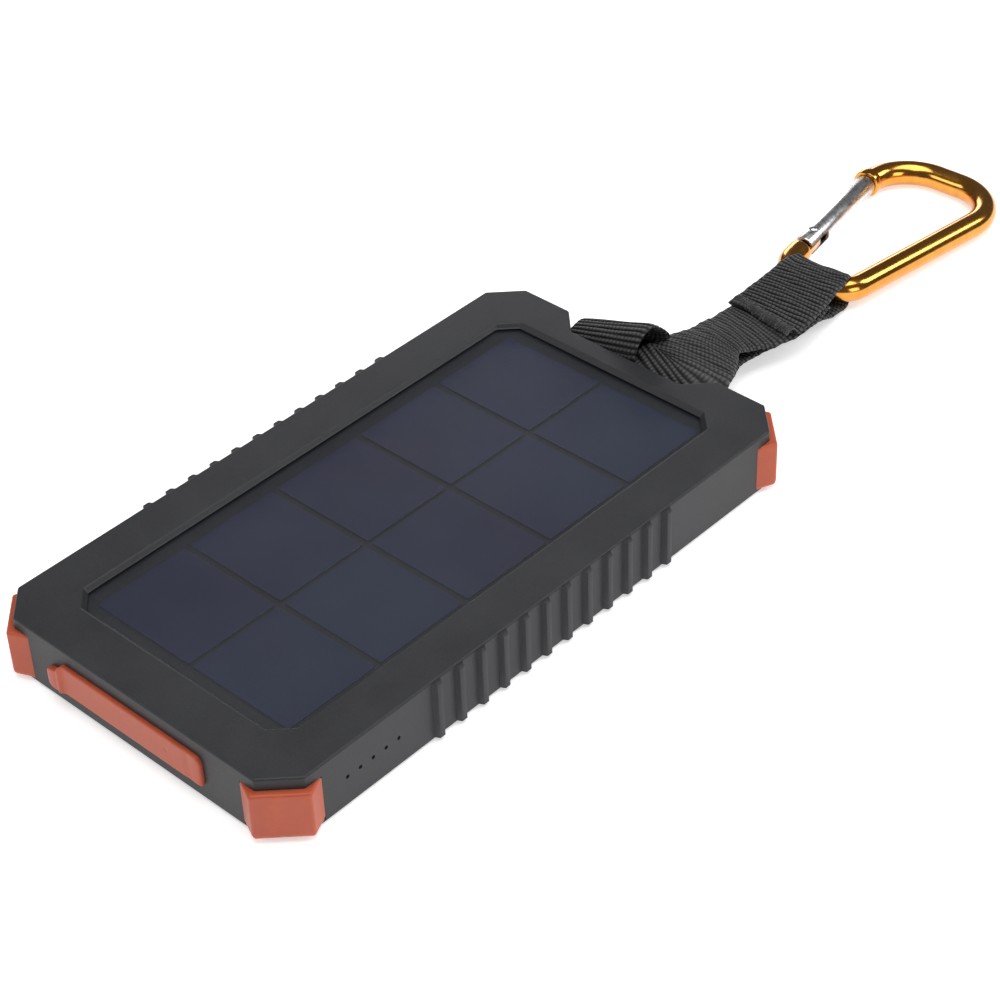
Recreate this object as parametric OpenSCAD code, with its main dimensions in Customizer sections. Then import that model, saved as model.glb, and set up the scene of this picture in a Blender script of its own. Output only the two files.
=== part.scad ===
// Solar phone charger: a flat power bank with a solar panel, rubber corner guards,
// a rubber port cover, and a webbing strap that carries a snap carabiner.
// X runs across the case, Y along it towards the strap, and Z up.
// The origin is at the middle of the case's underside.

/* [Case] */
// Length of the case along Y
case_l = 137; // [132:1:145]
// Width of the case along X
case_w = 75; // [73:0.5:80]
// Height of the case
case_h = 13.7; // [13.4:0.1:15]
// Cut at each corner of the case
corner_cut = 6; // [5:0.5:7]
// Thickness of the side walls
wall = 2; // [1.8:0.1:2.2]
// Height of the bottom cover's visible edge
lip_h = 0.8; // [0.6:0.1:1]
// Length of the battery indicator's row of holes
indicator_l = 12.4; // [11:0.4:14]

/* [Window and panel] */
// Width of the window over the solar panel
window_w = 55; // [52:0.5:56]
// Length of the window over the solar panel
window_l = 116.6; // [110:0.1:116.8]
// Rows of solar cells along Y
cell_rows = 5; // [3:1:6]
// Distance between rows of solar cells
cell_pitch = 22.3; // [18:0.1:22.4]

/* [Grip ribs] */
// Ribs on each long side
rib_count = 12; // [6:1:14]
// Distance between ribs
rib_pitch = 5.64; // [4:0.02:5.8]
// How far a rib stands out
rib_out = 1; // [0.6:0.1:1.2]

/* [Strap] */
// Width of the webbing
webbing_w = 18.6; // [16:0.2:19]
// Thickness of one layer of webbing
webbing_t = 1.3; // [1:0.1:1.4]
// Diameter of the bar that holds the strap
bar_d = 3; // [2.5:0.1:3]
// Distance from the bar to the carabiner's narrow end
strap_l = 54.3; // [45:0.1:70]

/* [Carabiner] */
// Outer length of the carabiner
carabiner_l = 60; // [58:1:70]
// Diameter of the carabiner's stock
stock_d = 5.5; // [5:0.1:5.6]
// Outer diameter of the gate
gate_d = 5; // [4.8:0.1:5]

/* [Hidden] */
$fn = 48;
eps = 0.01;

charcoal = [0.24, 0.24, 0.25];
orange = [0.8, 0.36, 0.22];
webbing_black = [0.12, 0.12, 0.13];
gold = [0.8, 0.5, 0.16];

half_l = case_l / 2;
half_w = case_w / 2;

// Heights of the stack under the window
cover_top = case_h - 1.3;
tape_t = 0.3;
cover_t = 0.4;
cell_t = 0.2;
board_t = 1;
top_plate_z = cover_top + tape_t;
cell_z = cover_top - cover_t - cell_t;
panel_z = cell_z - board_t;
panel_w = window_w + 4.2;
panel_l = window_l + 2.4;
window_cut = 3.4;
cell_w = 24.5;
cell_gap = 0.9;
row_gap = 1.4;
array_x = 0.8;

// Notch and bar for the strap at the rear end
notch_half = 19.5;
notch_depth = 5.3;
bar_y = half_l - 1.9;
bar_z = case_h / 2 + 0.15;
bar_seat = 2.6;

// Corner guards
guard_top = case_h - 2.5;
guard_depth = 1;
guard_reach = 9.7;
guard_out = 1.8;

// Cover, ports and board at the front end
cover_low = 4.1;
cover_high = 10.55;
cover_mid = (cover_low + cover_high) / 2;
cover_thick = 0.9;
cover_left = -18.7;
cover_right = 18.4;
hinge_x = 15.4;
hinge_y = -half_l - cover_thick / 2;
hinge_gap = 0.7;
board_z = 3.2;
pcb_t = 1.2;
pcb_top = board_z + pcb_t;
usb_a_x = -8.5;
usb_a_w = 12.5;
usb_a_h = 5.12;
usb_a_z = cover_mid;
usb_c_x = 7.2;
usb_c_w = 8.34;
usb_c_h = 2.56;
usb_c_z = pcb_top + 1.75;
shell_t = 0.3;
port_gap = 0.35;

// Battery indicator on the right side and button on the left side
side_y = -46.85;
side_z = case_h / 2;
led_count = 5;
led_pitch = indicator_l / (led_count - 1);
led_hole = 0.8;
button_l = 7;
button_h = 3;
button_out = 0.5;
button_gap = 0.1;

// Screws
boss_x = 32.2;
boss_y = 58;
boss_d = 5;
screw_d = 2;
screw_head_d = 3.8;
screw_head_h = 0.9;
screw_l = 8;
floor_t = 1.6;
post_x = 26;
post_y = -44;
post_screw_d = 1.6;

// Battery
cell_bat_w = 60;
cell_bat_l = 92;
cell_bat_h = 8;
battery_y = 9;
pad_t = 0.4;
fence_t = 0.8;
fence_l = 60;
battery_lead_x = 12;
panel_lead_x = -22;
wire_d = 1;
wire_gap = 0.8;
wire_z = pcb_top + wire_d / 2 + 0.02;

// Strap and carabiner geometry
turn_r = bar_d / 2 + 0.3;
turn_x0 = 0.4;
turn_x1 = 14.2;
stock_r = stock_d / 2;
loop_r = stock_r + 0.3;
loop_w = 8;
slab_t = 2 * webbing_t;
carabiner_z = loop_r + webbing_t + 0.05;
strap_x = 8.75;
strap_yaw = 4.6;
strap_pitch = asin((bar_z - carabiner_z) / strap_l);
strap_run = strap_l * cos(strap_pitch);
carabiner_x = strap_x - strap_run * sin(strap_yaw);
carabiner_y = bar_y + strap_run * cos(strap_yaw);
carabiner_yaw = 2.45;
ring_l = carabiner_l - stock_d;
carabiner_pitch = asin((carabiner_z - stock_r - 0.05) / ring_l);
ring_c = 2.9;
ring_rb = 6;
ring_rt = 11.4;
ring_d = ring_l - ring_rb - ring_rt;
ring_a = asin((ring_rt - ring_rb) / ring_d);
leg_l = sqrt(ring_d * ring_d - (ring_rt - ring_rb) * (ring_rt - ring_rb));
leg_u = ring_c + ring_rb * cos(ring_a);
leg_v = ring_rb - ring_rb * sin(ring_a);
pivot_s = 9.8;
nose_s = leg_l + 0.2;
gate_r = gate_d / 2;
gate_bore = 1.9;
gate_low = -4.85;
gate_high = nose_s - pivot_s - 0.25;
rivet_d = 1.6;
tongue_t = 1.8;
tongue_r = 1.5;
latch_t = 1.5;
latch_l = 2.4;

// ---------- shared outlines ----------

// A rectangle with its four corners cut off
module cut_rect(w, l, c) {
    x = w / 2;
    y = l / 2;
    polygon([[x, c - y], [x, y - c], [x - c, y], [c - x, y],
             [-x, y - c], [-x, c - y], [c - x, -y], [x - c, -y]]);
}

// The strap's notch, grown by m on its inner sides
module notch(m = 0) {
    y0 = half_l - notch_depth - m;
    top = half_l + 5;
    k = m * 0.41;
    polygon([[-notch_half - m - k - 5, top], [-notch_half + notch_depth - k, y0],
             [notch_half - notch_depth + k, y0], [notch_half + m + k + 5, top]]);
}

// One guard's seat in the rear right corner, open outwards
module seat() {
    g = guard_depth;
    c = corner_cut + 1.6;
    x = half_w;
    y = half_l;
    polygon([[x - guard_reach, y + 5], [x - guard_reach, y - g], [x - c - g, y - g],
             [x - g, y - c - g], [x - g, y - guard_reach], [x + 5, y - guard_reach], [x + 5, y + 5]]);
}

module on_corner(sx, sy) {
    flip_x = sx > 0 ? 0 : 1;
    flip_y = sy > 0 ? 0 : 1;
    mirror([flip_x, 0, 0]) mirror([0, flip_y, 0]) children();
}

module slab(z0, z1) {
    translate([0, 0, z0]) linear_extrude(z1 - z0) children();
}

// A slot along Y with round ends, standing on the YZ plane and l long in all
module side_slot(l, h, x0, x1) {
    translate([x0, side_y - (l - h) / 2, side_z - h / 2]) cube([x1 - x0, l - h, h]);
    for (s = [-1, 1])
        translate([x0, side_y + s * (l - h) / 2, side_z]) rotate([0, 90, 0])
            cylinder(h = x1 - x0, d = h);
}

module at_bosses() {
    for (sx = [-1, 1], sy = [-1, 1]) translate([sx * boss_x, sy * boss_y, 0]) children();
}

module at_posts() {
    for (sx = [-1, 1]) translate([sx * post_x, post_y, 0]) children();
}

// ---------- case ----------

module rib() {
    base = 2.2;
    crest = 1.3;
    polygon([[-eps - 0.2, -base / 2], [0, -base / 2], [rib_out, -crest / 2],
             [rib_out, crest / 2], [0, base / 2], [-eps - 0.2, base / 2]]);
}

module ribs() {
    first = -(rib_count - 1) / 2 * rib_pitch;
    for (s = [0, 1], i = [0 : rib_count - 1])
        mirror([s, 0, 0]) translate([half_w, first + i * rib_pitch, 0])
            slab(lip_h, case_h - 0.3) rib();
}

module window_bevel() {
    hull() {
        translate([0, 0, case_h]) linear_extrude(eps)
            cut_rect(window_w + 1, window_l + 1, window_cut + 0.4);
        translate([0, 0, case_h - 0.6]) linear_extrude(eps)
            cut_rect(window_w - 0.6, window_l - 0.6, window_cut);
    }
}

module cavity(inset) {
    difference() {
        cut_rect(case_w - 2 * inset, case_l - 2 * inset, corner_cut + 3);
        notch(inset + 1.5);
    }
}

module ports() {
    y = -half_l - 1;
    translate([usb_a_x - usb_a_w / 2, y, usb_a_z - usb_a_h / 2]) cube([usb_a_w, wall + 2, usb_a_h]);
    for (s = [-1, 1])
        translate([usb_c_x + s * (usb_c_w - usb_c_h) / 2, y, usb_c_z]) rotate([-90, 0, 0])
            cylinder(h = wall + 2, d = usb_c_h);
    translate([usb_c_x - (usb_c_w - usb_c_h) / 2, y, usb_c_z - usb_c_h / 2])
        cube([usb_c_w - usb_c_h, wall + 2, usb_c_h]);
}

module anchor_stem(r, y0, y1) {
    translate([(hinge_x + cover_right) / 2 + 0.2, y0, cover_mid]) rotate([-90, 0, 0])
        cylinder(h = y1 - y0, r = r);
}

module bar_hole(d, half) {
    translate([-half, bar_y, bar_z]) rotate([0, 90, 0]) cylinder(h = 2 * half, d = d);
}

module upper_shell() {
    color(charcoal) difference() {
        union() {
            difference() {
                slab(lip_h, case_h) cut_rect(case_w, case_l, corner_cut);
                slab(-1, top_plate_z) cavity(wall);
            }
            ribs();
            at_bosses() slab(floor_t, top_plate_z + eps) circle(d = boss_d);
        }
        slab(top_plate_z - 1, case_h + 1) cut_rect(window_w - 0.6, window_l - 0.6, window_cut);
        window_bevel();
        slab(-1, case_h + 1) notch();
        for (sx = [-1, 1], sy = [-1, 1]) on_corner(sx, sy) slab(-1, guard_top) seat();
        ports();
        anchor_stem(1, -half_l - 1, -half_l + wall + 1);
        for (i = [0 : led_count - 1])
            translate([half_w - wall - 1, side_y + (i - (led_count - 1) / 2) * led_pitch, side_z])
                rotate([0, 90, 0]) cylinder(h = wall + 2, d = led_hole, $fn = 24);
        side_slot(button_l, button_h, -half_w - 1, -half_w + wall + 1);
        at_bosses() slab(-1, floor_t + screw_l) circle(d = screw_d + 0.04);
        bar_hole(bar_d, notch_half + bar_seat - 1.5);
    }
}

module lower_shell() {
    step = 0.35;
    fit = 0.1;
    rim_in = wall + fit;
    color(charcoal) difference() {
        union() {
            slab(0, lip_h) difference() {
                cut_rect(case_w - 2 * step, case_l - 2 * step, corner_cut);
                notch(step);
            }
            slab(lip_h - eps, floor_t) cavity(rim_in);
            slab(floor_t - eps, 2.6) difference() {
                cavity(rim_in);
                cavity(rim_in + 0.9);
                for (sx = [-1, 1], sy = [-1, 1])
                    translate([sx * boss_x, sy * boss_y]) circle(d = boss_d + 0.4);
            }
            // Posts under the circuit board, and fences beside the battery
            for (sx = [-1, 1], y = [post_y, post_y - 19])
                translate([sx * post_x, y, 0]) slab(floor_t - eps, board_z) circle(d = 4);
            for (s = [-1, 1])
                translate([s * (cell_bat_w / 2 + 0.9) - fence_t / 2, battery_y - fence_l / 2, floor_t - eps])
                    cube([fence_t, fence_l, 3]);
        }
        at_bosses() slab(-1, floor_t + 1) circle(d = screw_d + 0.2);
        at_bosses() slab(-1, screw_head_h) circle(d = screw_head_d + 0.2);
        at_posts() slab(0.9, board_z + 1) circle(d = post_screw_d);
    }
}

module case_screws() {
    color("silver") at_bosses() difference() {
        union() {
            slab(0.1, screw_head_h) circle(d = screw_head_d);
            slab(screw_head_h - eps, screw_l) circle(d = screw_d);
        }
        for (a = [0, 90]) rotate(a) translate([-1.1, -0.25, 0]) cube([2.2, 0.5, 0.6]);
    }
}

// ---------- corner guards ----------

module guard(sx, sy) {
    x = half_w;
    y = half_l;
    g = guard_depth;
    c = corner_cut + 1.6;
    o = guard_out;
    r = guard_reach;
    soft = 0.9;
    color(orange) on_corner(sx, sy) {
        slab(lip_h + soft, guard_top)
            polygon([[x - r, y], [x - 5.7, y + o], [x + o, y - 5.7], [x, y - r],
                     [x - g, y - r], [x - g, y - c - g], [x - c - g, y - g], [x - r, y - g]]);
        slab(lip_h, lip_h + soft + eps)
            polygon([[x - r + 0.5, y - 0.1], [x - 5.9, y + o - 0.6], [x + o - 0.6, y - 5.9],
                     [x - 0.1, y - r + 0.5],
                     [x - g, y - r + 0.5], [x - g, y - c - g], [x - c - g, y - g], [x - r + 0.5, y - g]]);
    }
}
module guard_front_left() { guard(-1, -1); }
module guard_front_right() { guard(1, -1); }
module guard_rear_left() { guard(-1, 1); }
module guard_rear_right() { guard(1, 1); }

// ---------- solar panel ----------

module panel_tape() {
    color("dimgray") slab(cover_top, top_plate_z) difference() {
        cut_rect(panel_w, panel_l, window_cut);
        cut_rect(window_w, window_l, window_cut);
    }
}

module panel_cover() {
    color([0.2, 0.22, 0.3, 0.4]) slab(cover_top - cover_t, cover_top) cut_rect(panel_w, panel_l, 1.5);
}

module solar_cells() {
    first = -(cell_rows - 1) / 2 * cell_pitch;
    color([0.16, 0.17, 0.27])
        for (s = [-1, 1], i = [0 : cell_rows - 1])
            translate([array_x + s * (cell_w + cell_gap) / 2, first + i * cell_pitch, cell_z])
                translate([-cell_w / 2, -(cell_pitch - row_gap) / 2, 0])
                    cube([cell_w, cell_pitch - row_gap, cell_t]);
}

module panel_board() {
    color([0.1, 0.1, 0.12]) slab(panel_z, cell_z) cut_rect(panel_w, panel_l, 1.5);
}

// Two wires side by side that lie flat along Y from y0 to y1
module wire_pair(x, y0, y1) {
    for (s = [-1, 1])
        translate([x + s * wire_gap, y0, wire_z]) rotate([-90, 0, 0]) cylinder(h = y1 - y0, d = wire_d);
}

module panel_leads() {
    drop_y = -40.6;
    color("firebrick") {
        wire_pair(panel_lead_x, drop_y - 3, drop_y);
        for (s = [-1, 1]) translate([panel_lead_x + s * wire_gap, drop_y, wire_z]) {
            cylinder(h = panel_z - wire_z, d = wire_d);
            sphere(d = wire_d);
        }
    }
}

// ---------- battery ----------

module battery_pad() {
    color("gray") translate([-25, battery_y - 40, floor_t]) cube([50, 80, pad_t]);
}

module battery_cell() {
    r = 1.5;
    color([0.75, 0.76, 0.78]) translate([0, battery_y, floor_t + pad_t]) {
        translate([-cell_bat_w / 2, -cell_bat_l / 2 + 3, 0]) cube([cell_bat_w, cell_bat_l - 3, cell_bat_h]);
        translate([-cell_bat_w / 2 + r, -cell_bat_l / 2, 1])
            cube([cell_bat_w - 2 * r, 3 + eps, cell_bat_h - 3]);
    }
}

module battery_leads() {
    color("black") wire_pair(battery_lead_x, -43, battery_y - cell_bat_l / 2);
}

// ---------- circuit board ----------

module circuit_board() {
    color("darkgreen") difference() {
        slab(board_z, pcb_top) intersection() {
            translate([-33, -half_l + wall + 0.6]) square([66, 25.4]);
            cavity(wall + 0.6);
        }
        at_bosses() slab(board_z - 1, pcb_top + 1) circle(d = boss_d + 0.6);
        at_posts() slab(board_z - 1, pcb_top + 1) circle(d = post_screw_d + 0.2);
    }
}

module board_screws() {
    color("silver") at_posts() {
        slab(1, pcb_top + eps) circle(d = post_screw_d - 0.04);
        slab(pcb_top, pcb_top + 0.9) circle(d = 3);
    }
}

module charge_chip() {
    color([0.1, 0.1, 0.1]) {
        translate([-12, -51, pcb_top]) cube([5, 4, 0.9]);
        translate([6, -52, pcb_top]) cube([6, 5, 1.4]);
    }
}

module coil_inductor() {
    color([0.3, 0.3, 0.3]) translate([-4, -51, pcb_top]) cube([6, 6, 3]);
}

module usb_a_shell() {
    w = usb_a_w;
    h = usb_a_h;
    y0 = -half_l + wall;
    color("silver") translate([usb_a_x, y0, usb_a_z]) difference() {
        translate([-w / 2 - shell_t, 0, -h / 2 - shell_t]) cube([w + 2 * shell_t, 13, h + 2 * shell_t]);
        translate([-w / 2, -1, -h / 2]) cube([w, 13.4, h]);
    }
}

module usb_a_tongue() {
    color("white") translate([usb_a_x, -half_l + wall + 1, usb_a_z]) {
        translate([-5.5, 0, 0.1]) cube([11, 10.5, 1.84]);
        translate([-usb_a_w / 2 + 0.05, 10, -usb_a_h / 2 + 0.05]) cube([usb_a_w - 0.1, 1.3, usb_a_h - 0.1]);
    }
}

module round_bar(w, h, l) {
    for (s = [-1, 1]) translate([s * (w - h) / 2, 0, 0]) rotate([-90, 0, 0]) cylinder(h = l, d = h);
    translate([-(w - h) / 2, 0, -h / 2]) cube([w - h, l, h]);
}

module usb_c_shell() {
    color("silver") translate([usb_c_x, -half_l + wall, usb_c_z]) difference() {
        round_bar(usb_c_w + 2 * shell_t, usb_c_h + 2 * shell_t, 7.4);
        translate([0, -1, 0]) round_bar(usb_c_w, usb_c_h, 7.6);
    }
}

module usb_c_tongue() {
    color([0.1, 0.1, 0.1]) translate([usb_c_x, -half_l + wall + 0.8, usb_c_z]) {
        translate([-3.3, 0, -0.35]) cube([6.6, 5.5, 0.7]);
        translate([0, 5, 0]) round_bar(usb_c_w - 0.1, usb_c_h - 0.1, 0.7);
    }
}

module indicator_leds() {
    color("white") for (i = [0 : led_count - 1])
        translate([31.2, side_y + (i - (led_count - 1) / 2) * led_pitch - 0.8, pcb_top])
            cube([1.2, 1.6, 0.8]);
}

module light_pipe() {
    x0 = 33.3;
    x1 = half_w - wall;
    color([0.9, 0.95, 1, 0.6]) {
        translate([x0, side_y - indicator_l / 2 - 1.4, pcb_top])
            cube([x1 - x0, indicator_l + 2.8, side_z + 1.2 - pcb_top]);
        for (i = [0 : led_count - 1])
            translate([x1 - eps, side_y + (i - (led_count - 1) / 2) * led_pitch, side_z])
                rotate([0, 90, 0]) cylinder(h = wall - 0.5, d = led_hole - 0.1, $fn = 24);
    }
}

// ---------- power button ----------

module switch_body() {
    color([0.1, 0.1, 0.1]) difference() {
        translate([-32.6, side_y - 3, pcb_top]) cube([3.4, 6, 4]);
        translate([-33, side_y, side_z]) rotate([0, 90, 0]) cylinder(h = 2.6, d = 1.8);
    }
}

module power_button() {
    flange = 1.2;
    inner = -half_w + wall;
    color(charcoal) {
        side_slot(button_l - 2 * button_gap, button_h - 2 * button_gap, -half_w - button_out, inner + 0.2);
        side_slot(button_l + flange, button_h + flange, inner + 0.1, inner + 0.8);
        translate([inner + 0.7, side_y, side_z]) rotate([0, 90, 0]) cylinder(h = 2.4, d = 1.6);
    }
}

// ---------- port cover ----------

module cover_anchor() {
    color(orange) {
        translate([hinge_x + hinge_gap, -half_l - cover_thick, cover_low])
            cube([cover_right - hinge_x - hinge_gap, cover_thick, cover_high - cover_low]);
        anchor_stem(0.95, -half_l - eps, -half_l + wall + 0.1);
        anchor_stem(1.5, -half_l + wall + 0.05, -half_l + wall + 0.55);
    }
}

module port_cover() {
    y0 = -half_l - cover_thick;
    h = cover_high - cover_low;
    rim = 1.5;
    plug_l = 1.7;
    color(orange) {
        translate([cover_left + rim, y0, cover_low]) cube([hinge_x - cover_left - rim, cover_thick, h]);
        translate([cover_left, y0, cover_low + rim]) cube([rim + eps, cover_thick, h - 2 * rim]);
        for (z = [cover_low + rim, cover_high - rim])
            translate([cover_left + rim, y0, z]) rotate([-90, 0, 0]) cylinder(h = cover_thick, r = rim);
        translate([hinge_x, hinge_y, cover_low]) cylinder(h = h, d = cover_thick);
        // Pull tab
        translate([cover_left - 2, y0 - 0.4, 6.2]) rotate([-90, 0, 0])
            cylinder(h = cover_thick + 0.3, r = 2.2);
        translate([cover_left - 2, y0 - 0.4, 4]) cube([3, cover_thick + 0.3, 4.4]);
        // Plugs that close the sockets
        translate([usb_a_x - usb_a_w / 2 + port_gap, -half_l - eps, usb_a_z - usb_a_h / 2 + port_gap])
            cube([usb_a_w - 2 * port_gap, plug_l, usb_a_h - 2 * port_gap]);
        translate([usb_c_x, -half_l - eps, usb_c_z])
            round_bar(usb_c_w - 2 * port_gap, usb_c_h - 2 * port_gap, plug_l);
    }
}

// ---------- strap ----------

module strap_bar() {
    color([0.15, 0.15, 0.15]) bar_hole(bar_d, notch_half + bar_seat - 1.5);
}

// A ring of webbing round an axis along X
module turn(x0, x1, r) {
    translate([x0, 0, 0]) rotate([0, 90, 0]) difference() {
        cylinder(h = x1 - x0, r = r + webbing_t);
        translate([0, 0, -1]) cylinder(h = x1 - x0 + 2, r = r);
    }
}

// The hitch: a tall loose turn of webbing that stays round the bar
module hitch_outline(r) {
    rise = 5.4;
    circle(r = r);
    translate([-rise, 0]) circle(r = r);
    translate([-rise, -r]) square([rise, 2 * r]);
}

module strap_hitch() {
    inner_r = bar_d / 2 + 0.05;
    color(webbing_black) difference() {
        translate([-notch_half + 1.6, bar_y, bar_z]) rotate([0, 90, 0])
            linear_extrude(notch_half - 2) difference() {
                hitch_outline(inner_r + 1.2);
                hitch_outline(inner_r);
            }
        slab(-1, case_h + 1) difference() {
            translate([-40, half_l - 20]) square([80, 30]);
            notch(-0.25);
        }
    }
}

module on_strap() {
    translate([strap_x, bar_y, bar_z]) rotate([-strap_pitch, 0, 0]) rotate(strap_yaw) children();
}

module at_carabiner() {
    translate([carabiner_x, carabiner_y, carabiner_z]) rotate(carabiner_yaw) children();
}

module strap_webbing() {
    w = webbing_w / 2;
    e = loop_w / 2;
    q0 = 2.6;
    q1 = 9.5;
    q2 = strap_l - 8;
    q3 = strap_l - 1;
    color(webbing_black) difference() {
        union() {
            translate([0, bar_y, bar_z]) turn(turn_x0, turn_x1, turn_r);
            on_strap() translate([0, 0, -slab_t / 2]) linear_extrude(slab_t)
                polygon([[turn_x0 - strap_x + 0.4, q0], [turn_x1 - strap_x, q0],
                         [turn_x1 - strap_x + 0.4, q1 - 1.5], [w, q1], [w, q2],
                         [e, q2 + 4], [e, q3], [-e, q3], [-e, q2 + 4], [-w, q2],
                         [-w, q1],
                         [turn_x0 - strap_x + 0.8, q1 - 1.5]]);
            at_carabiner() turn(-e, e, loop_r);
        }
        translate([0, bar_y, bar_z]) rotate([0, 90, 0]) translate([0, 0, -1]) cylinder(h = 20, r = turn_r);
        at_carabiner() translate([-10, 0, 0]) rotate([0, 90, 0]) cylinder(h = 20, r = loop_r);
    }
}

module strap_stitching() {
    color([0.08, 0.08, 0.09]) on_strap() translate([-webbing_w / 2 + 0.4, strap_l - 20.2, slab_t / 2])
        rotate(-12) cube([15, 2.6, 0.6]);
}

// ---------- carabiner ----------

module on_carabiner() {
    at_carabiner() rotate([-carabiner_pitch, 0, 0]) children();
}

module bend(u, v, r, a0, a1) {
    translate([u, v, 0]) rotate(a0) rotate_extrude(angle = a1 - a0) translate([r, 0]) circle(r = stock_r);
}

// The straight leg on the spine side, and on the gate side when s is -1
module on_leg(s = 1) {
    translate([s * leg_u, leg_v, 0]) rotate(-s * ring_a) children();
}

module rod(r, s0, s1) {
    translate([0, s0, 0]) rotate([-90, 0, 0]) cylinder(h = s1 - s0, r = r);
}

module joint_ball(turned = 0) {
    rotate([turned, 0, 0]) sphere(r = stock_r + 0.02);
}

module carabiner_frame() {
    nose_turn = asin((nose_s - leg_l + 1) / ring_rt);
    stock_end = pivot_s - 6;
    knit = 0.15;
    color(gold) on_carabiner() difference() {
        union() {
            translate([-ring_c, 0, 0]) rotate(-90) rod(stock_r, knit, 2 * ring_c - knit);
            bend(ring_c, ring_rb, ring_rb, -90, -ring_a);
            on_leg() rod(stock_r, knit, leg_l - knit);
            bend(ring_c, ring_l - ring_rt, ring_rt, -ring_a, 90);
            translate([-ring_c, ring_l, 0]) rotate(-90) rod(stock_r, knit, 2 * ring_c - knit);
            bend(-ring_c, ring_l - ring_rt, ring_rt, 90, 180 + ring_a - nose_turn);
            bend(-ring_c, ring_rb, ring_rb, 180 + ring_a, 270);
            on_leg(-1) rod(stock_r, knit, stock_end);
            // Balls that join each bend to the straight lengths beside it
            for (u = [-ring_c, ring_c], v = [0, ring_l]) translate([u, v, 0]) rotate([0, 90, 0]) joint_ball();
            for (s = [-1, 1]) on_leg(s) joint_ball(90);
            on_leg() translate([0, leg_l, 0]) joint_ball(90);
            // Tongue that carries the gate's rivet
            on_leg(-1) translate([0, 0, -tongue_t / 2]) linear_extrude(tongue_t) {
                translate([0, pivot_s]) circle(r = tongue_r);
                polygon([[-tongue_r, stock_end - 1], [tongue_r + 0.8, stock_end - 1],
                         [tongue_r + 0.8, pivot_s - 0.9],
                         [tongue_r * cos(30), pivot_s + tongue_r * sin(30)], [-tongue_r, pivot_s]]);
            }
            // Nose with the latch that the gate closes on
            on_leg(-1) rod(stock_r + 0.2, nose_s, nose_s + 2.2);
            on_leg(-1) translate([-1.2, nose_s - latch_l, -latch_t / 2]) cube([2.4, latch_l + 1, latch_t]);
        }
        on_leg(-1) translate([0, pivot_s, -5]) cylinder(h = 10, d = rivet_d + 0.1);
    }
}

module carabiner_gate() {
    slot_t = tongue_t + 0.3;
    slot_end = 3;
    notch_t = latch_t + 0.4;
    color("silver") on_carabiner() on_leg(-1) translate([0, pivot_s, 0]) difference() {
        rod(gate_r, gate_low, gate_high);
        rod(gate_bore, gate_low - 1, gate_high + 1);
        translate([-tongue_r - 0.2, gate_low - 1, -slot_t / 2]) cube([8, slot_end + 1 - gate_low, slot_t]);
        translate([-8, gate_high - latch_l - 0.6, -notch_t / 2]) cube([9.6, 8, notch_t]);
        translate([0, 0, -5]) cylinder(h = 10, d = rivet_d);
    }
}

module gate_rivet() {
    color("silver") on_carabiner() on_leg(-1) translate([0, pivot_s, -gate_r - 0.15])
        cylinder(h = gate_d + 0.3, d = rivet_d);
}

module gate_spring() {
    color("gray") on_carabiner() on_leg(-1) translate([gate_bore - 0.45, pivot_s, 0]) rod(0.4, 3.2, 15);
}

upper_shell();
lower_shell();
case_screws();
guard_front_left();
guard_front_right();
guard_rear_left();
guard_rear_right();
panel_tape();
panel_cover();
solar_cells();
panel_board();
panel_leads();
battery_pad();
battery_cell();
battery_leads();
circuit_board();
board_screws();
charge_chip();
coil_inductor();
usb_a_shell();
usb_a_tongue();
usb_c_shell();
usb_c_tongue();
indicator_leds();
light_pipe();
switch_body();
power_button();
cover_anchor();
port_cover();
strap_bar();
strap_hitch();
strap_webbing();
strap_stitching();
carabiner_frame();
carabiner_gate();
gate_rivet();
gate_spring();
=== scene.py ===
import math

import bmesh
import bpy
from mathutils import Matrix, Vector


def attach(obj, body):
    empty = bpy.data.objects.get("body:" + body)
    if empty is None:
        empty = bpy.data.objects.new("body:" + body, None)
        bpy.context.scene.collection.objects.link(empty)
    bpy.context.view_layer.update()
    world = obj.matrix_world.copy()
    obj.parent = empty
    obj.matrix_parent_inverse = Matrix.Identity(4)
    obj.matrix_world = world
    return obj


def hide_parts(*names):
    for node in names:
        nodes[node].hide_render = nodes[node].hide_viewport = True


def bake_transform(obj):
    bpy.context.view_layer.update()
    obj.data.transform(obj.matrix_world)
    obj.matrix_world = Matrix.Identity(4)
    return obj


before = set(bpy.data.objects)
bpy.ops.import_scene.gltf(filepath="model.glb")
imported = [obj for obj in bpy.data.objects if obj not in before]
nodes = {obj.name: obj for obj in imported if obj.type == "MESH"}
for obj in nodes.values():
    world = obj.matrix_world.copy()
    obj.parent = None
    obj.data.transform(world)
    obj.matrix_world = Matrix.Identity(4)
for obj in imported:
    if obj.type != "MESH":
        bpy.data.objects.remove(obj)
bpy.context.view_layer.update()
MM = 0.001

# ---------------------------------------------------------------- studio
# A white sweep under soft boxes, seen from in front of and above the charger's right-hand corner.
# The strap and the carabiner lie on the same surface as the case.

lens = bpy.data.cameras.new("studio_lens")
lens.sensor_width = 36.0
lens.lens = 91.205
lens.clip_start = 0.01
lens.clip_end = 20.0
camera = bpy.data.objects.new("studio_camera", lens)
camera.rotation_mode = "QUATERNION"
camera.location = (0.27086574, -0.25470574, 0.30898796)
camera.rotation_quaternion = (0.84149351, 0.39984207, 0.17118572, 0.3204847)
bpy.context.scene.collection.objects.link(camera)
bpy.context.scene.camera = camera
bpy.context.scene.view_settings.view_transform = "Standard"

world = bpy.data.worlds.new("white_studio")
world.use_nodes = True
world.node_tree.nodes["Background"].inputs["Color"].default_value = (1.0, 1.0, 1.0, 1.0)
world.node_tree.nodes["Background"].inputs["Strength"].default_value = 0.11
bpy.context.scene.world = world


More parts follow.
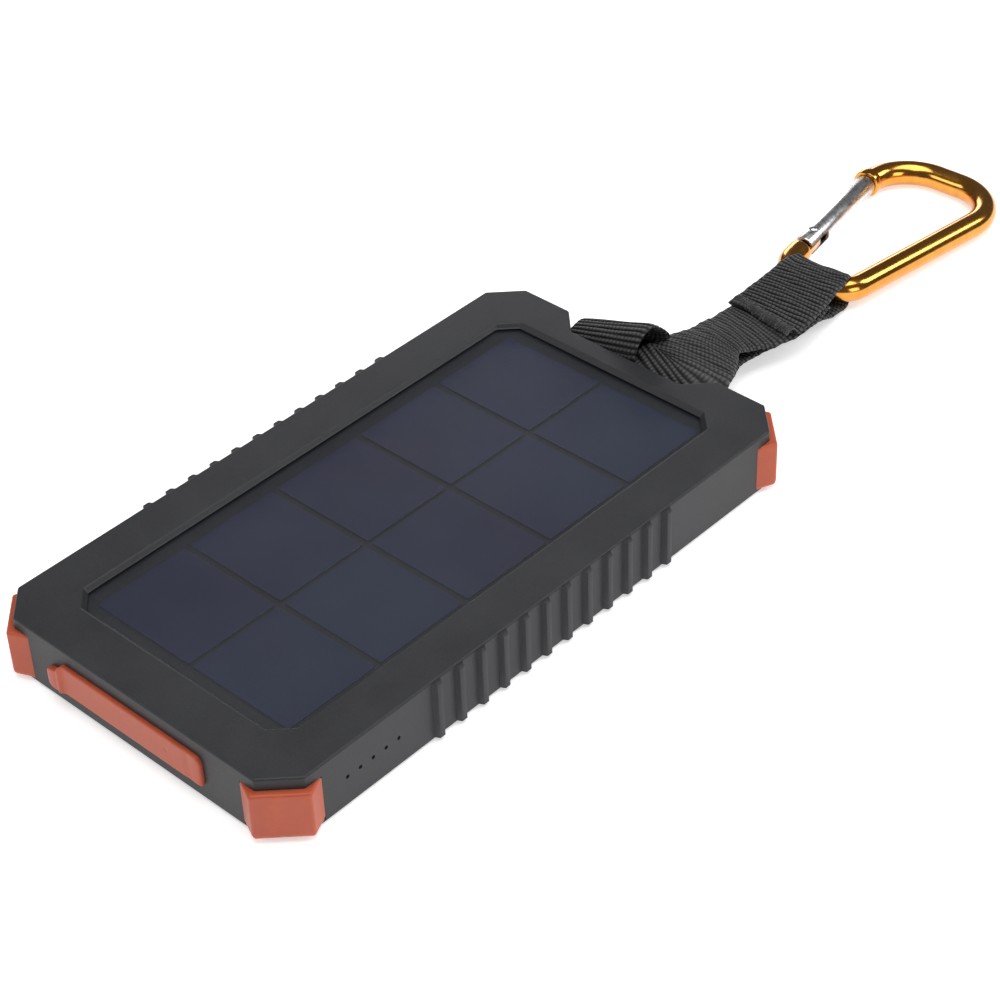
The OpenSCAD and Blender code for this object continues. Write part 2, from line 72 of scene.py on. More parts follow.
def soft_box(name, place, target, width, length, watts):
    light = bpy.data.lights.new(name, "AREA")
    light.shape = "RECTANGLE"
    light.size = width
    light.size_y = length
    light.energy = watts
    holder = bpy.data.objects.new(name, light)
    holder.location = place
    aim = Vector(target) - Vector(place)
    holder.rotation_mode = "QUATERNION"
    holder.rotation_quaternion = aim.to_track_quat("-Z", "Y")
    bpy.context.scene.collection.objects.link(holder)


soft_box("overhead_box", (0.1, 0.0, 1.3), (0, 0.02, 0), 1.2, 1.0, 12.5)
soft_box("back_box", (0.6, 0.8, 0.78), (0, 0.08, 0), 0.32, 0.5, 3.8)
soft_box("low_left_box", (-0.85, 0.85, 0.26), (0, 0.1, 0), 0.5, 0.3, 1.8)
soft_box("side_box", (1.1, -0.1, 0.4), (0, 0.05, 0), 0.5, 0.5, 2.4)
soft_box("front_fill", (-0.62, -0.75, 0.6), (0, 0, 0), 0.6, 0.4, 2.0)

floor_mesh = bpy.data.meshes.new("studio_floor")
floor_mesh.from_pydata([(-6, -6, 0), (6, -6, 0), (6, 6, 0), (-6, 6, 0)], [], [(0, 1, 2, 3)])
studio_floor = bpy.data.objects.new("studio_floor", floor_mesh)
bpy.context.scene.collection.objects.link(studio_floor)
floor_paint = bpy.data.materials.new("white_paper")
floor_paint.use_nodes = True
for socket, value in (("Base Color", (0.93, 0.93, 0.93, 1)), ("Roughness", 0.9), ("Specular IOR Level", 0.0),
                      ("Emission Color", (1, 1, 1, 1)), ("Emission Strength", 0.5)):
    floor_paint.node_tree.nodes["Principled BSDF"].inputs[socket].default_value = value
floor_mesh.materials.append(floor_paint)

# ---------------------------------------------------------------- case body
# The upper half of the case, moulded in charcoal ABS with a fine spark-eroded grain: bezel, walls and
# the notch for the strap in one piece, open underneath.

CASE_W = 75 * MM
CASE_L = 137 * MM
CASE_H = 13.7 * MM
LIP_H = 0.8 * MM
WALL = 2 * MM
PLATE_Z = 12.7 * MM
NOTCH_HALF = 19.5 * MM
NOTCH_DEPTH = 5.3 * MM
SIDE_Y = -46.85 * MM
SIDE_Z = CASE_H / 2
BAR_Y = 66.6 * MM
BAR_Z = 7.0 * MM
BAR_HALF = 20.6 * MM
GUARD_TOP = 11.2 * MM


class Surface:
    """A principled finish: its colour, roughness and bump come from noise in the part's own space."""

    def __init__(self, name, colour, rough, metallic=0.0, space="Object", **sockets):
        self.material = bpy.data.materials.new(name)
        self.material.use_nodes = True
        self.tree = self.material.node_tree
        self.shader = self.tree.nodes["Principled BSDF"]
        self.shader.inputs["Base Color"].default_value = (*colour, 1.0)
        self.shader.inputs["Roughness"].default_value = rough
        self.shader.inputs["Metallic"].default_value = metallic
        for socket, value in sockets.items():
            self.shader.inputs[socket.replace("_", " ")].default_value = value
        self.place = self.tree.nodes.new("ShaderNodeTexCoord").outputs[space]
        self.height = None

    def link(self, out, into):
        self.tree.links.new(out, into)

    def math(self, kind, first, second=0.5, third=None):
        node = self.tree.nodes.new("ShaderNodeMath")
        node.operation = kind
        for slot, value in enumerate((first, second, third)):
            if value is None:
                continue
            if isinstance(value, (int, float)):
                node.inputs[slot].default_value = value
            else:
                self.link(value, node.inputs[slot])
        return node.outputs[0]

    def mixed(self, first, first_share, second, second_share):
        return self.math("ADD", self.math("MULTIPLY", first, first_share),
                         self.math("MULTIPLY", second, second_share))

    def stretched(self, scale, turn=(0, 0, 0)):
        mapping = self.tree.nodes.new("ShaderNodeMapping")
        mapping.inputs["Scale"].default_value = scale
        mapping.inputs["Rotation"].default_value = turn
        self.link(self.place, mapping.inputs["Vector"])
        return mapping.outputs[0]

    def noise(self, per_metre, detail=3.0, rough=0.6, where=None):
        node = self.tree.nodes.new("ShaderNodeTexNoise")
        node.inputs["Scale"].default_value = per_metre
        node.inputs["Detail"].default_value = detail
        node.inputs["Roughness"].default_value = rough
        self.link(where or self.place, node.inputs["Vector"])
        return node.outputs["Fac"]

    def ramp(self, source, low, high, steps=(0.3, 0.7)):
        node = self.tree.nodes.new("ShaderNodeValToRGB")
        node.color_ramp.elements[0].position = steps[0]
        node.color_ramp.elements[1].position = steps[1]
        node.color_ramp.elements[0].color = (*low, 1.0)
        node.color_ramp.elements[1].color = (*high, 1.0)
        self.link(source, node.inputs["Fac"])
        return node.outputs["Color"]

    def coloured(self, source, low, high, steps=(0.3, 0.7)):
        self.link(self.ramp(source, low, high, steps), self.shader.inputs["Base Color"])

    def roughened(self, source, low, high):
        node = self.tree.nodes.new("ShaderNodeMapRange")
        node.inputs["From Min"].default_value = 0.3
        node.inputs["From Max"].default_value = 0.7
        node.inputs["To Min"].default_value = low
        node.inputs["To Max"].default_value = high
        self.link(source, node.inputs["Value"])
        self.link(node.outputs[0], self.shader.inputs["Roughness"])

    def bumped(self, source, depth, strength=1.0):
        node = self.tree.nodes.new("ShaderNodeBump")
        node.inputs["Distance"].default_value = depth
        node.inputs["Strength"].default_value = strength
        self.link(source, node.inputs["Height"])
        if self.height is not None:
            self.link(self.height, node.inputs["Normal"])
        self.height = node.outputs[0]
        self.link(self.height, self.shader.inputs["Normal"])


def charcoal_abs():
    finish = Surface("charcoal_abs", (0.022, 0.023, 0.026), 0.5, Specular_IOR_Level=0.4)
    broad = finish.noise(60, 4, 0.65)
    grain = finish.noise(5200, 2, 0.5)
    pores = finish.noise(2300, 3, 0.7)
    mixed = finish.mixed(broad, 0.45, grain, 0.55)
    finish.coloured(mixed, (0.0175, 0.018, 0.0205), (0.030, 0.031, 0.035), (0.38, 0.62))
    finish.roughened(finish.mixed(broad, 0.6, pores, 0.4), 0.42, 0.56)
    finish.bumped(grain, 0.00003, 0.55)
    finish.bumped(pores, 0.00005, 0.35)
    return finish.material


charcoal = charcoal_abs()


def add_piece(name, mesh, finish=None, crisp=32):
    """Links a mesh at the origin, smooth but for edges sharper than crisp degrees."""
    piece = bpy.data.objects.new(name, mesh)
    bpy.context.scene.collection.objects.link(piece)
    if finish is not None:
        mesh.materials.clear()
        mesh.materials.append(finish)
    if crisp:
        mesh.shade_smooth()
        mesh.set_sharp_from_angle(angle=math.radians(crisp))
    return piece


def close_up(bm, name, merge=True):
    """Turns a bmesh into a mesh with outward faces."""
    if merge:
        bmesh.ops.remove_doubles(bm, verts=bm.verts, dist=1e-7)
    bmesh.ops.recalc_face_normals(bm, faces=bm.faces)
    mesh = bpy.data.meshes.new(name)
    bm.to_mesh(mesh)
    bm.free()
    return mesh


def settled(piece):
    """Applies a piece's modifiers to its mesh."""
    bpy.context.view_layer.update()
    graph = bpy.context.evaluated_depsgraph_get()
    mesh = bpy.data.meshes.new_from_object(piece.evaluated_get(graph), depsgraph=graph)
    piece.modifiers.clear()
    piece.data = mesh
    mesh.name = piece.name
    return piece


def evenly_shaded(piece):
    """Keeps broad faces flat-looking beside their rounded edges."""
    weights = piece.modifiers.new("even_shading", "WEIGHTED_NORMAL")
    weights.keep_sharp = True
    weights.weight = 100
    return settled(piece)


def inset(outline, distance):
    """A closed outline, anticlockwise, moved inwards by distance with mitred corners."""
    moved = []
    count = len(outline)
    for i in range(count):
        before = Vector(outline[i]) - Vector(outline[i - 1])
        after = Vector(outline[(i + 1) % count]) - Vector(outline[i])
        in_before = Vector((-before.y, before.x)).normalized()
        in_after = Vector((-after.y, after.x)).normalized()
        middle = in_before + in_after
        scale = distance / max(0.25, 1 + in_before.dot(in_after))
        moved.append(Vector(outline[i]) + middle * scale)
    return moved


def softened(outline, radii, steps=4):
    """Replaces each corner of an outline with a short arc; radii is one value or one for each corner."""
    made = []
    count = len(outline)
    for i in range(count):
        corner = Vector(outline[i])
        back = Vector(outline[i - 1]) - corner
        on = Vector(outline[(i + 1) % count]) - corner
        radius = radii[i] if isinstance(radii, (list, tuple)) else radii
        turn = math.pi - back.angle(on)
        cut = min(radius * math.tan(turn / 2), back.length * 0.45, on.length * 0.45)
        a, b = corner + back.normalized() * cut, corner + on.normalized() * cut
        for k in range(steps + 1):
            t = k / steps
            made.append(a * (1 - t) ** 2 + corner * 2 * t * (1 - t) + b * t * t)
    return made


def clipped_rectangle(width, length, cut):
    x, y = width / 2, length / 2
    return [(x, cut - y), (x, y - cut), (x - cut, y), (cut - x, y),
            (-x, y - cut), (-x, cut - y), (cut - x, -y), (x - cut, -y)]


def notched_outline(width, length, cut, half, depth):
    """The case's plan: a clipped rectangle with the strap's notch in its rear edge."""
    x, y = width / 2, length / 2
    return [(x, cut - y), (x, y - cut), (x - cut, y), (half, y), (half - depth, y - depth),
            (depth - half, y - depth), (-half, y), (cut - x, y),
            (-x, y - cut), (-x, cut - y), (cut - x, -y), (x - cut, -y)]


def ring(bm, outline, z):
    return [bm.verts.new((p[0], p[1], z)) for p in outline]


def skin(bm, rings, closed=True):
    """Quads between rings of equal count."""
    for low, high in zip(rings, rings[1:]):
        count = len(low)
        for i in range(count if closed else count - 1):
            j = (i + 1) % count
            bm.faces.new((low[i], low[j], high[j], high[i]))


def capped(bm, rings):
    """A solid skinned over rings, closed by its first and last one."""
    skin(bm, rings)
    bm.faces.new(list(reversed(rings[0])))
    bm.faces.new(rings[-1])


def washer(bm, outer, inner):
    """Fills the flat area inside outer and outside inner, which may be empty."""
    edges = []
    for loop in (outer, inner):
        for i, vert in enumerate(loop):
            other = loop[(i + 1) % len(loop)]
            edges.append(bm.edges.get((vert, other)) or bm.edges.new((vert, other)))
    bmesh.ops.triangle_fill(bm, use_beauty=True, use_dissolve=False, edges=edges)


def prism(bm, outline, z0, z1):
    capped(bm, [ring(bm, outline, z0), ring(bm, outline, z1)])


def box_in(bm, low, high):
    prism(bm, [(low[0], low[1]), (high[0], low[1]), (high[0], high[1]), (low[0], high[1])], low[2], high[2])


def peg(bm, start, end, radius, sides=24, tip=None):
    """A closed round rod from start to end; tip gives another radius at its end."""
    start, end = Vector(start), Vector(end)
    turn = (end - start).to_track_quat("Z", "Y").to_matrix()
    rings = []
    for centre, size in ((start, radius), (end, radius if tip is None else tip)):
        rings.append([bm.verts.new(centre + turn @ Vector((size * math.cos(a), size * math.sin(a), 0)))
                      for a in (2 * math.pi * k / sides for k in range(sides))])
    capped(bm, rings)


def slot_outline(length, height, sides=10):
    """A flat slot about its middle, with round ends."""
    outline, r = [], height / 2
    for end in (1, -1):
        for k in range(sides + 1):
            a = math.pi * k / sides - math.pi / 2
            outline.append((end * (length / 2 - r + r * math.cos(a)), end * r * math.sin(a)))
    return outline


def refinished(piece, finish):
    """Gives a cut piece its finish again, smooth but for its edges."""
    piece.data.materials.clear()
    piece.data.materials.append(finish)
    piece.data.shade_smooth()
    piece.data.set_sharp_from_angle(angle=math.radians(32))
    return evenly_shaded(piece)


def cut_away(piece, bm, name):
    """Cuts the closed shapes in bm out of a piece."""
    cutter = add_piece(name, close_up(bm, name), crisp=0)
    cut = piece.modifiers.new(name, "BOOLEAN")
    cut.operation = "DIFFERENCE"
    cut.solver = "EXACT"
    cut.object = cutter
    settled(piece)
    bpy.data.objects.remove(cutter)
    return piece


def case_plan(distance):
    outline = notched_outline(CASE_W, CASE_L, 6 * MM, NOTCH_HALF, NOTCH_DEPTH)
    return inset(softened(outline, 0.7 * MM), distance)


def cavity_plan(distance):
    x, y = CASE_W / 2 - distance, CASE_L / 2 - distance
    grown = distance + 1.5 * MM
    shift = grown * 0.41
    cut = 9 * MM
    floor_y = CASE_L / 2 - NOTCH_DEPTH - grown
    half = NOTCH_HALF - NOTCH_DEPTH + shift
    lean = y - floor_y
    outline = [(x, cut - y), (x, y - cut), (x - cut, y), (half + lean, y), (half, floor_y),
               (-half, floor_y), (-half - lean, y), (cut - x, y),
               (-x, y - cut), (-x, cut - y), (cut - x, -y), (x - cut, -y)]
    return softened(outline, 0.5 * MM, 2)


def window_plan(width, length, cut):
    return softened(clipped_rectangle(width, length, cut), 0.8 * MM)


body_bm = bmesh.new()
outside = [(LIP_H, 0.16), (LIP_H + 0.12 * MM, 0.03), (LIP_H + 0.3 * MM, 0), (13.22 * MM, 0),
           (13.4 * MM, 0.05), (13.55 * MM, 0.15), (13.65 * MM, 0.29), (CASE_H, 0.46)]
outer_rings = [ring(body_bm, case_plan(d * MM), z) for z, d in outside]
skin(body_bm, outer_rings)
frame_edge = [(56.5, 118.1, 4.1, 13.7), (56.1, 117.7, 3.9, 13.66), (55.7, 117.3, 3.75, 13.5),
              (54.9, 116.5, 3.5, 13.0), (54.6, 116.2, 3.42, 12.86), (54.4, 116.0, 3.4, 12.78),
              (54.4, 116.0, 3.4, 12.7)]
window_rings = [ring(body_bm, window_plan(w * MM, l * MM, c * MM), z * MM) for w, l, c, z in frame_edge]
skin(body_bm, window_rings)
washer(body_bm, outer_rings[-1], window_rings[0])
roof_ring = ring(body_bm, cavity_plan(WALL), PLATE_Z)
sill_ring = ring(body_bm, cavity_plan(WALL), LIP_H)
skin(body_bm, [roof_ring, sill_ring])
washer(body_bm, roof_ring, window_rings[-1])
washer(body_bm, outer_rings[0], sill_ring)
case_body = add_piece("case_body", close_up(body_bm, "case_body"), charcoal)

cut_bm = bmesh.new()
reach, back = 9.7 * MM, 1 * MM
corner = 7.6 * MM
far = 5 * MM
for sx in (-1, 1):
    for sy in (-1, 1):
        x, y = CASE_W / 2, CASE_L / 2
        seat = [(x - reach, y + far), (x - reach, y - back), (x - corner - back, y - back),
                (x - back, y - corner - back), (x - back, y - reach), (x + far, y - reach),
                (x + far, y + far)]
        seat = [(sx * p[0], sy * p[1]) for p in seat]
        prism(cut_bm, seat if sx * sy > 0 else seat[::-1], -1 * MM, GUARD_TOP)
front = -CASE_L / 2
PORT_Z = 7.325 * MM
USB_A_X, USB_A_W, USB_A_H = -8.5 * MM, 12.5 * MM, 5.12 * MM
USB_C_X, USB_C_Z, USB_C_W, USB_C_H = 7.2 * MM, 6.15 * MM, 8.34 * MM, 2.56 * MM
STEM_X = 17.1 * MM
LAMP_PITCH, LAMP_R = 3.1 * MM, 0.42 * MM
BUTTON_SLOT_L, BUTTON_SLOT_H = 7 * MM, 3 * MM
box_in(cut_bm, (USB_A_X - USB_A_W / 2, front - MM, PORT_Z - USB_A_H / 2),
       (USB_A_X + USB_A_W / 2, front + WALL + MM, PORT_Z + USB_A_H / 2))
usb_c_slot = slot_outline(USB_C_W, USB_C_H)
capped(cut_bm, [[cut_bm.verts.new((USB_C_X + p[0], y, USB_C_Z + p[1])) for p in usb_c_slot]
                for y in (front - MM, front + WALL + MM)])
peg(cut_bm, (STEM_X, front - MM, PORT_Z), (STEM_X, front + WALL + MM, PORT_Z), 1 * MM)
for k in range(5):
    y = SIDE_Y + (k - 2) * LAMP_PITCH
    peg(cut_bm, (CASE_W / 2 - WALL - MM, y, SIDE_Z), (CASE_W / 2 + MM, y, SIDE_Z), LAMP_R, 20)
button_slot = slot_outline(BUTTON_SLOT_L, BUTTON_SLOT_H)
capped(cut_bm, [[cut_bm.verts.new((x, SIDE_Y + p[0], SIDE_Z + p[1])) for p in button_slot]
                for x in (-CASE_W / 2 - MM, -CASE_W / 2 + WALL + MM)])
peg(cut_bm, (-BAR_HALF, BAR_Y, BAR_Z), (BAR_HALF, BAR_Y, BAR_Z), 1.5 * MM, 32)
cut_away(case_body, cut_bm, "case_openings")
refinished(case_body, charcoal)
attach(case_body, "case")
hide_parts("upper_shell")

# ---------------------------------------------------------------- grip ribs
# Twelve upright ribs on each long side, part of the same moulding, with drafted flanks and a small
# chamfer where each one stops short of the bezel.

RIB_PITCH = 5.64 * MM
RIB_COUNT = 12


def group_with_inputs(name, inputs):
    """An empty geometry tree with a geometry output and the named inputs."""
    tree = bpy.data.node_groups.new(name, "GeometryNodeTree")
    tree.interface.new_socket("Geometry", in_out="INPUT", socket_type="NodeSocketGeometry")
    for label, kind in inputs:
        tree.interface.new_socket(label, in_out="INPUT", socket_type=kind)
    tree.interface.new_socket("Geometry", in_out="OUTPUT", socket_type="NodeSocketGeometry")
    return tree, tree.nodes.new("NodeGroupInput"), tree.nodes.new("NodeGroupOutput")


def add_node(tree, kind, sockets, **options):
    """Adds a node; sockets gives each input a value or the output that feeds it."""
    node = tree.nodes.new(kind)
    for option, value in options.items():
        setattr(node, option, value)
    for label, value in sockets.items():
        if isinstance(value, bpy.types.NodeSocket):
            tree.links.new(value, node.inputs[label])
        else:
            node.inputs[label].default_value = value
    return node


def gathered(tree, parts):
    """Joins the outputs in parts."""
    join = tree.nodes.new("GeometryNodeJoinGeometry")
    for part in parts:
        tree.links.new(part, join.inputs[0])
    return join.outputs[0]


def end_tree(tree, geometry, material, made):
    """Ends a tree in real geometry that wears its material."""
    real = add_node(tree, "GeometryNodeRealizeInstances", {0: geometry})
    paint = add_node(tree, "GeometryNodeSetMaterial", {"Geometry": real.outputs[0], "Material": material})
    tree.links.new(paint.outputs[0], made.inputs[0])


def grown(name, tree, values):
    """Runs a geometry tree on an empty mesh and returns the plain mesh that it makes."""
    holder = add_piece(name, bpy.data.meshes.new(name), crisp=0)
    run = holder.modifiers.new(name, "NODES")
    run.node_group = tree
    names = {item.name: item.identifier for item in tree.interface.items_tree if item.in_out == "INPUT"}
    for label, value in values.items():
        run[names[label]] = value
    return settled(holder)


def rib_mesh():
    bm = bmesh.new()
    half_base, half_crest, out = 1.1 * MM, 0.65 * MM, 1.0 * MM
    levels = [(0.8, 0.9), (0.88, 1.0), (13.0, 1.0), (13.16, 0.96), (13.3, 0.86), (13.4, 0.66)]
    rings = []
    for z, share in levels:
        tip = half_crest + (half_base - half_crest) * (1 - share) * 0.3
        section = [(-0.1 * MM, half_base), (-0.1 * MM, -half_base), (0.0, -half_base),
                   (0.12 * MM, -half_base * 0.93), (out * share * 0.86, -tip * 1.04),
                   (out * share * 0.97, -tip * 0.96), (out * share, -tip * 0.82)]
        section += [(p[0], -p[1]) for p in reversed(section[2:])]
        rings.append([bm.verts.new((p[0], p[1], z * MM)) for p in section])
    capped(bm, rings)
    mesh = close_up(bm, "rib")
    mesh.shade_smooth()
    mesh.set_sharp_from_angle(angle=math.radians(28))
    return mesh


one_rib = add_piece("one_rib", rib_mesh(), crisp=0)
tree, given, made = group_with_inputs("rib_rows", [("Rib", "NodeSocketObject"), ("Count", "NodeSocketInt"),
                                                   ("Pitch", "NodeSocketFloat"), ("Wall", "NodeSocketFloat")])
step = add_node(tree, "ShaderNodeCombineXYZ", {"Y": given.outputs["Pitch"]})
spaces = add_node(tree, "ShaderNodeMath", {0: given.outputs["Count"], 1: 1.0}, operation="SUBTRACT")
row_length = add_node(tree, "ShaderNodeMath", {0: spaces.outputs[0], 1: given.outputs["Pitch"]},
                      operation="MULTIPLY")
first = add_node(tree, "ShaderNodeMath", {0: row_length.outputs[0], 1: -0.5}, operation="MULTIPLY")
start = add_node(tree, "ShaderNodeCombineXYZ", {"X": given.outputs["Wall"], "Y": first.outputs[0]})
line = add_node(tree, "GeometryNodeMeshLine", {
    "Count": given.outputs["Count"], "Offset": step.outputs[0], "Start Location": start.outputs[0]},
    mode="OFFSET")
info = add_node(tree, "GeometryNodeObjectInfo", {"Object": given.outputs["Rib"]})
place = add_node(tree, "GeometryNodeInstanceOnPoints", {
    "Points": line.outputs[0], "Instance": info.outputs["Geometry"]})
other_side = add_node(tree, "GeometryNodeTransform", {
    "Rotation": (0, 0, math.pi), "Geometry": place.outputs[0]})
end_tree(tree, gathered(tree, (place.outputs[0], other_side.outputs[0])), charcoal, made)
grip_ribs = grown("grip_ribs", tree, {
    "Rib": one_rib, "Count": RIB_COUNT, "Pitch": RIB_PITCH, "Wall": CASE_W / 2})
bpy.data.objects.remove(one_rib)
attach(grip_ribs, "case")

# ---------------------------------------------------------------- bottom cover
# The lower half of the case: a flat tray of the same plastic, set in a little from the walls so that
# it shows as a thin dark line, with four countersunk holes.

base_bm = bmesh.new()
levels = [(0.0, 0.75), (0.06, 0.55), (0.2, 0.4), (0.4, 0.35), (0.8, 0.35)]
base_rings = [ring(base_bm, case_plan(d * MM), z * MM) for z, d in levels]
skin(base_bm, base_rings)
washer(base_bm, base_rings[0], [])
plug_low = ring(base_bm, cavity_plan(WALL + 0.1 * MM), LIP_H)
plug_high = ring(base_bm, cavity_plan(WALL + 0.1 * MM), 2.6 * MM)
rim_high = ring(base_bm, cavity_plan(WALL + 1 * MM), 2.6 * MM)
rim_low = ring(base_bm, cavity_plan(WALL + 1 * MM), 1.6 * MM)
washer(base_bm, base_rings[-1], plug_low)
skin(base_bm, [plug_low, plug_high, rim_high, rim_low])
washer(base_bm, rim_low, [])
bottom_cover = add_piece("bottom_cover", close_up(base_bm, "bottom_cover"), charcoal)
BOSS_X, BOSS_Y = 32.2 * MM, 58 * MM
cut_bm = bmesh.new()
for x, y in [(sx * BOSS_X, sy * BOSS_Y) for sx in (-1, 1) for sy in (-1, 1)]:
    peg(cut_bm, (x, y, -MM), (x, y, 0.9 * MM), 2.0 * MM, 32)
    peg(cut_bm, (x, y, 0.9 * MM), (x, y, 3 * MM), 1.1 * MM, 24)
cut_away(bottom_cover, cut_bm, "screw_seats")
refinished(bottom_cover, charcoal)
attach(bottom_cover, "case")
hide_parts("lower_shell")

# ---------------------------------------------------------------- case screws
# Four zinc-plated self-tapping screws with domed heads and a cross recess, driven up through the
# bottom cover into the bosses.


def one_grain(name, colour, rough, metallic, grain, tones, rough_range, relief, **sockets):
    """A finish that follows one noise; grain is (per metre, detail, roughness), relief (depth, strength)."""
    finish = Surface(name, colour, rough, metallic, **sockets)
    noise = finish.noise(*grain)
    finish.coloured(noise, *tones)
    if rough_range:
        finish.roughened(noise, *rough_range)
    if relief:
        finish.bumped(noise, *relief)
    return finish.material


zinc = one_grain("zinc_steel", (0.56, 0.57, 0.58), 0.34, 1.0, (900, 3, 0.6),
                 ((0.42, 0.43, 0.45), (0.66, 0.66, 0.65)), (0.26, 0.46), (0.00002, 0.4))


def turned(bm, profile, sides=32):
    """A closed solid of revolution about Z from (radius, z) pairs, both ends on the axis."""
    rings = []
    for radius, z in profile:
        if radius < 1e-7:
            rings.append([bm.verts.new((0, 0, z))])
        else:
            rings.append([bm.verts.new((radius * math.cos(a), radius * math.sin(a), z))
                          for a in (2 * math.pi * k / sides for k in range(sides))])
    for low, high in zip(rings, rings[1:]):
        for i in range(sides):
            j = (i + 1) % sides
            if len(low) == 1:
                bm.faces.new((low[0], high[j], high[i]))
            elif len(high) == 1:
                bm.faces.new((low[i], low[j], high[0]))
            else:
                bm.faces.new((low[i], low[j], high[j], high[i]))


screw_bm = bmesh.new()
turned(screw_bm, [(0, 0.1 * MM), (1.2 * MM, 0.1 * MM), (1.65 * MM, 0.16 * MM), (1.85 * MM, 0.32 * MM),
                  (1.9 * MM, 0.5 * MM), (1.9 * MM, 0.9 * MM), (1.0 * MM, 0.9 * MM), (1.0 * MM, 7.2 * MM),
                  (0.5 * MM, 8.0 * MM), (0, 8.0 * MM)])
one_screw = add_piece("one_screw", close_up(screw_bm, "one_screw"), zinc)
for x, y, recess in ((1.1 * MM, 0.25 * MM, "recess_one"), (0.25 * MM, 1.1 * MM, "recess_two")):
    cut_bm = bmesh.new()
    box_in(cut_bm, (-x, -y, 0), (x, y, 0.6 * MM))
    cut_away(one_screw, cut_bm, recess)
one_screw.data.shade_smooth()
one_screw.data.set_sharp_from_angle(angle=math.radians(32))
tree, given, made = group_with_inputs("screw_set", [
    ("Screw", "NodeSocketObject"), ("Width", "NodeSocketFloat"), ("Length", "NodeSocketFloat")])
grid = add_node(tree, "GeometryNodeMeshGrid", {
    "Vertices X": 2, "Vertices Y": 2, "Size X": given.outputs["Width"], "Size Y": given.outputs["Length"]})
info = add_node(tree, "GeometryNodeObjectInfo", {"Object": given.outputs["Screw"]})
turns = add_node(tree, "FunctionNodeRandomValue", {"Min": (0, 0, 0), "Max": (0, 0, math.pi), "Seed": 7},
                 data_type="FLOAT_VECTOR")
place = add_node(tree, "GeometryNodeInstanceOnPoints", {
    "Points": grid.outputs[0], "Instance": info.outputs["Geometry"], "Rotation": turns.outputs[0]})
end_tree(tree, place.outputs[0], zinc, made)
case_screws = grown("case_screw_set", tree, {"Screw": one_screw, "Width": 2 * BOSS_X, "Length": 2 * BOSS_Y})
bpy.data.objects.remove(one_screw)
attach(case_screws, "case")
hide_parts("case_screws")

# ---------------------------------------------------------------- corner guards
# Four bumpers of orange thermoplastic rubber pressed over the corners below the bezel: flush with the
# walls at both ends, proud at the corner, with soft moulded edges.


def orange_rubber():
    finish = Surface("orange_rubber", (0.46, 0.086, 0.034), 0.4, Subsurface_Weight=0.3,
                     Subsurface_Radius=(0.0022, 0.0008, 0.0004), Subsurface_Scale=1.0,
                     Specular_IOR_Level=0.42)
    broad = finish.noise(140, 3, 0.6)
    fine = finish.noise(2600, 2, 0.5)
    finish.coloured(finish.mixed(broad, 0.75, fine, 0.25),
                    (0.42, 0.07, 0.03), (0.5, 0.098, 0.038))
    finish.roughened(broad, 0.36, 0.5)
    finish.bumped(fine, 0.00002, 0.35)
    return finish.material


orange = orange_rubber()


def guard_mesh(sx, sy, name):
    """One bumper: a plan with a rounded outer corner, lofted up with a rounded foot and a small top round."""
    x, y = CASE_W / 2, CASE_L / 2
    out = 1.8 * MM
    plan = [(x, y - reach), (x + out, y - 5.7 * MM), (x - 5.7 * MM, y + out), (x - reach, y),
            (x - reach, y - back), (x - corner - back, y - back), (x - back, y - corner - back),
            (x - back, y - reach)]
    radii = [0.12 * MM, 0.75 * MM, 0.75 * MM, 0.12 * MM, 0.05 * MM, 0.05 * MM, 0.05 * MM, 0.05 * MM]
    steps = 6
    base = softened(plan, radii, steps)
    outer = 4 * (steps + 1)
    levels = [(0.8, 0.95), (0.9, 0.62), (1.1, 0.36), (1.4, 0.16), (1.8, 0.03), (2.2, 0.0),
              (10.6, 0.0), (10.85, 0.05), (11.02, 0.16), (11.14, 0.32), (11.2, 0.52)]
    bm = bmesh.new()
    rings = []
    for z, d in levels:
        moved = inset(base, d * MM)
        points = []
        for i, p in enumerate(base):
            q = moved[i] if i < outer else p
            points.append((sx * q[0], sy * q[1]))
        rings.append([bm.verts.new((p[0], p[1], z * MM)) for p in points])
    capped(bm, rings)
    return close_up(bm, name)


for name, sx, sy in (("guard_front_left", -1, -1), ("guard_front_right", 1, -1),
                     ("guard_rear_left", -1, 1), ("guard_rear_right", 1, 1)):
    bumper = add_piece("bumper" + name[5:], guard_mesh(sx, sy, "bumper" + name[5:]), orange, 40)
    evenly_shaded(bumper)
    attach(bumper, "case")
    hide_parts(name)

# ---------------------------------------------------------------- solar panel
# Ten dark blue silicon wafers in two columns on a black laminate, under a satin film. The panel is
# stuck to the underside of the bezel with a ring of thin foam tape.


def dress(name, material):
    """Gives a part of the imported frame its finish."""
    part = nodes[name]
    part.data.materials.clear()
    part.data.materials.append(material)


def silicon_wafer():
    finish = Surface("silicon_wafer", (0.02, 0.022, 0.045), 0.34, Specular_IOR_Level=0.4)
    cloud = finish.noise(26, 3, 0.55)
    speck = finish.noise(3800, 2, 0.5)
    streak = finish.noise(1, 2, 0.5, finish.stretched((90, 3400, 90)))
    mixed = finish.mixed(cloud, 0.8, speck, 0.2)
    finish.coloured(mixed, (0.0155, 0.0145, 0.042), (0.0135, 0.018, 0.048), (0.4, 0.6))
    finish.roughened(finish.mixed(streak, 0.5, speck, 0.5), 0.34, 0.5)
    finish.bumped(speck, 0.000002, 0.4)
    return finish.material


def satin_film():
    finish = Surface("satin_film", (0.1, 0.11, 0.13), 0.3, Alpha=0.1, IOR=1.45)
    ripple = finish.noise(45, 2, 0.5)
    grain = finish.noise(4200, 2, 0.5)
    finish.coloured(ripple, (0.08, 0.09, 0.11), (0.12, 0.13, 0.15))
    finish.roughened(grain, 0.26, 0.36)
    finish.bumped(grain, 0.000002, 0.3)
    return finish.material


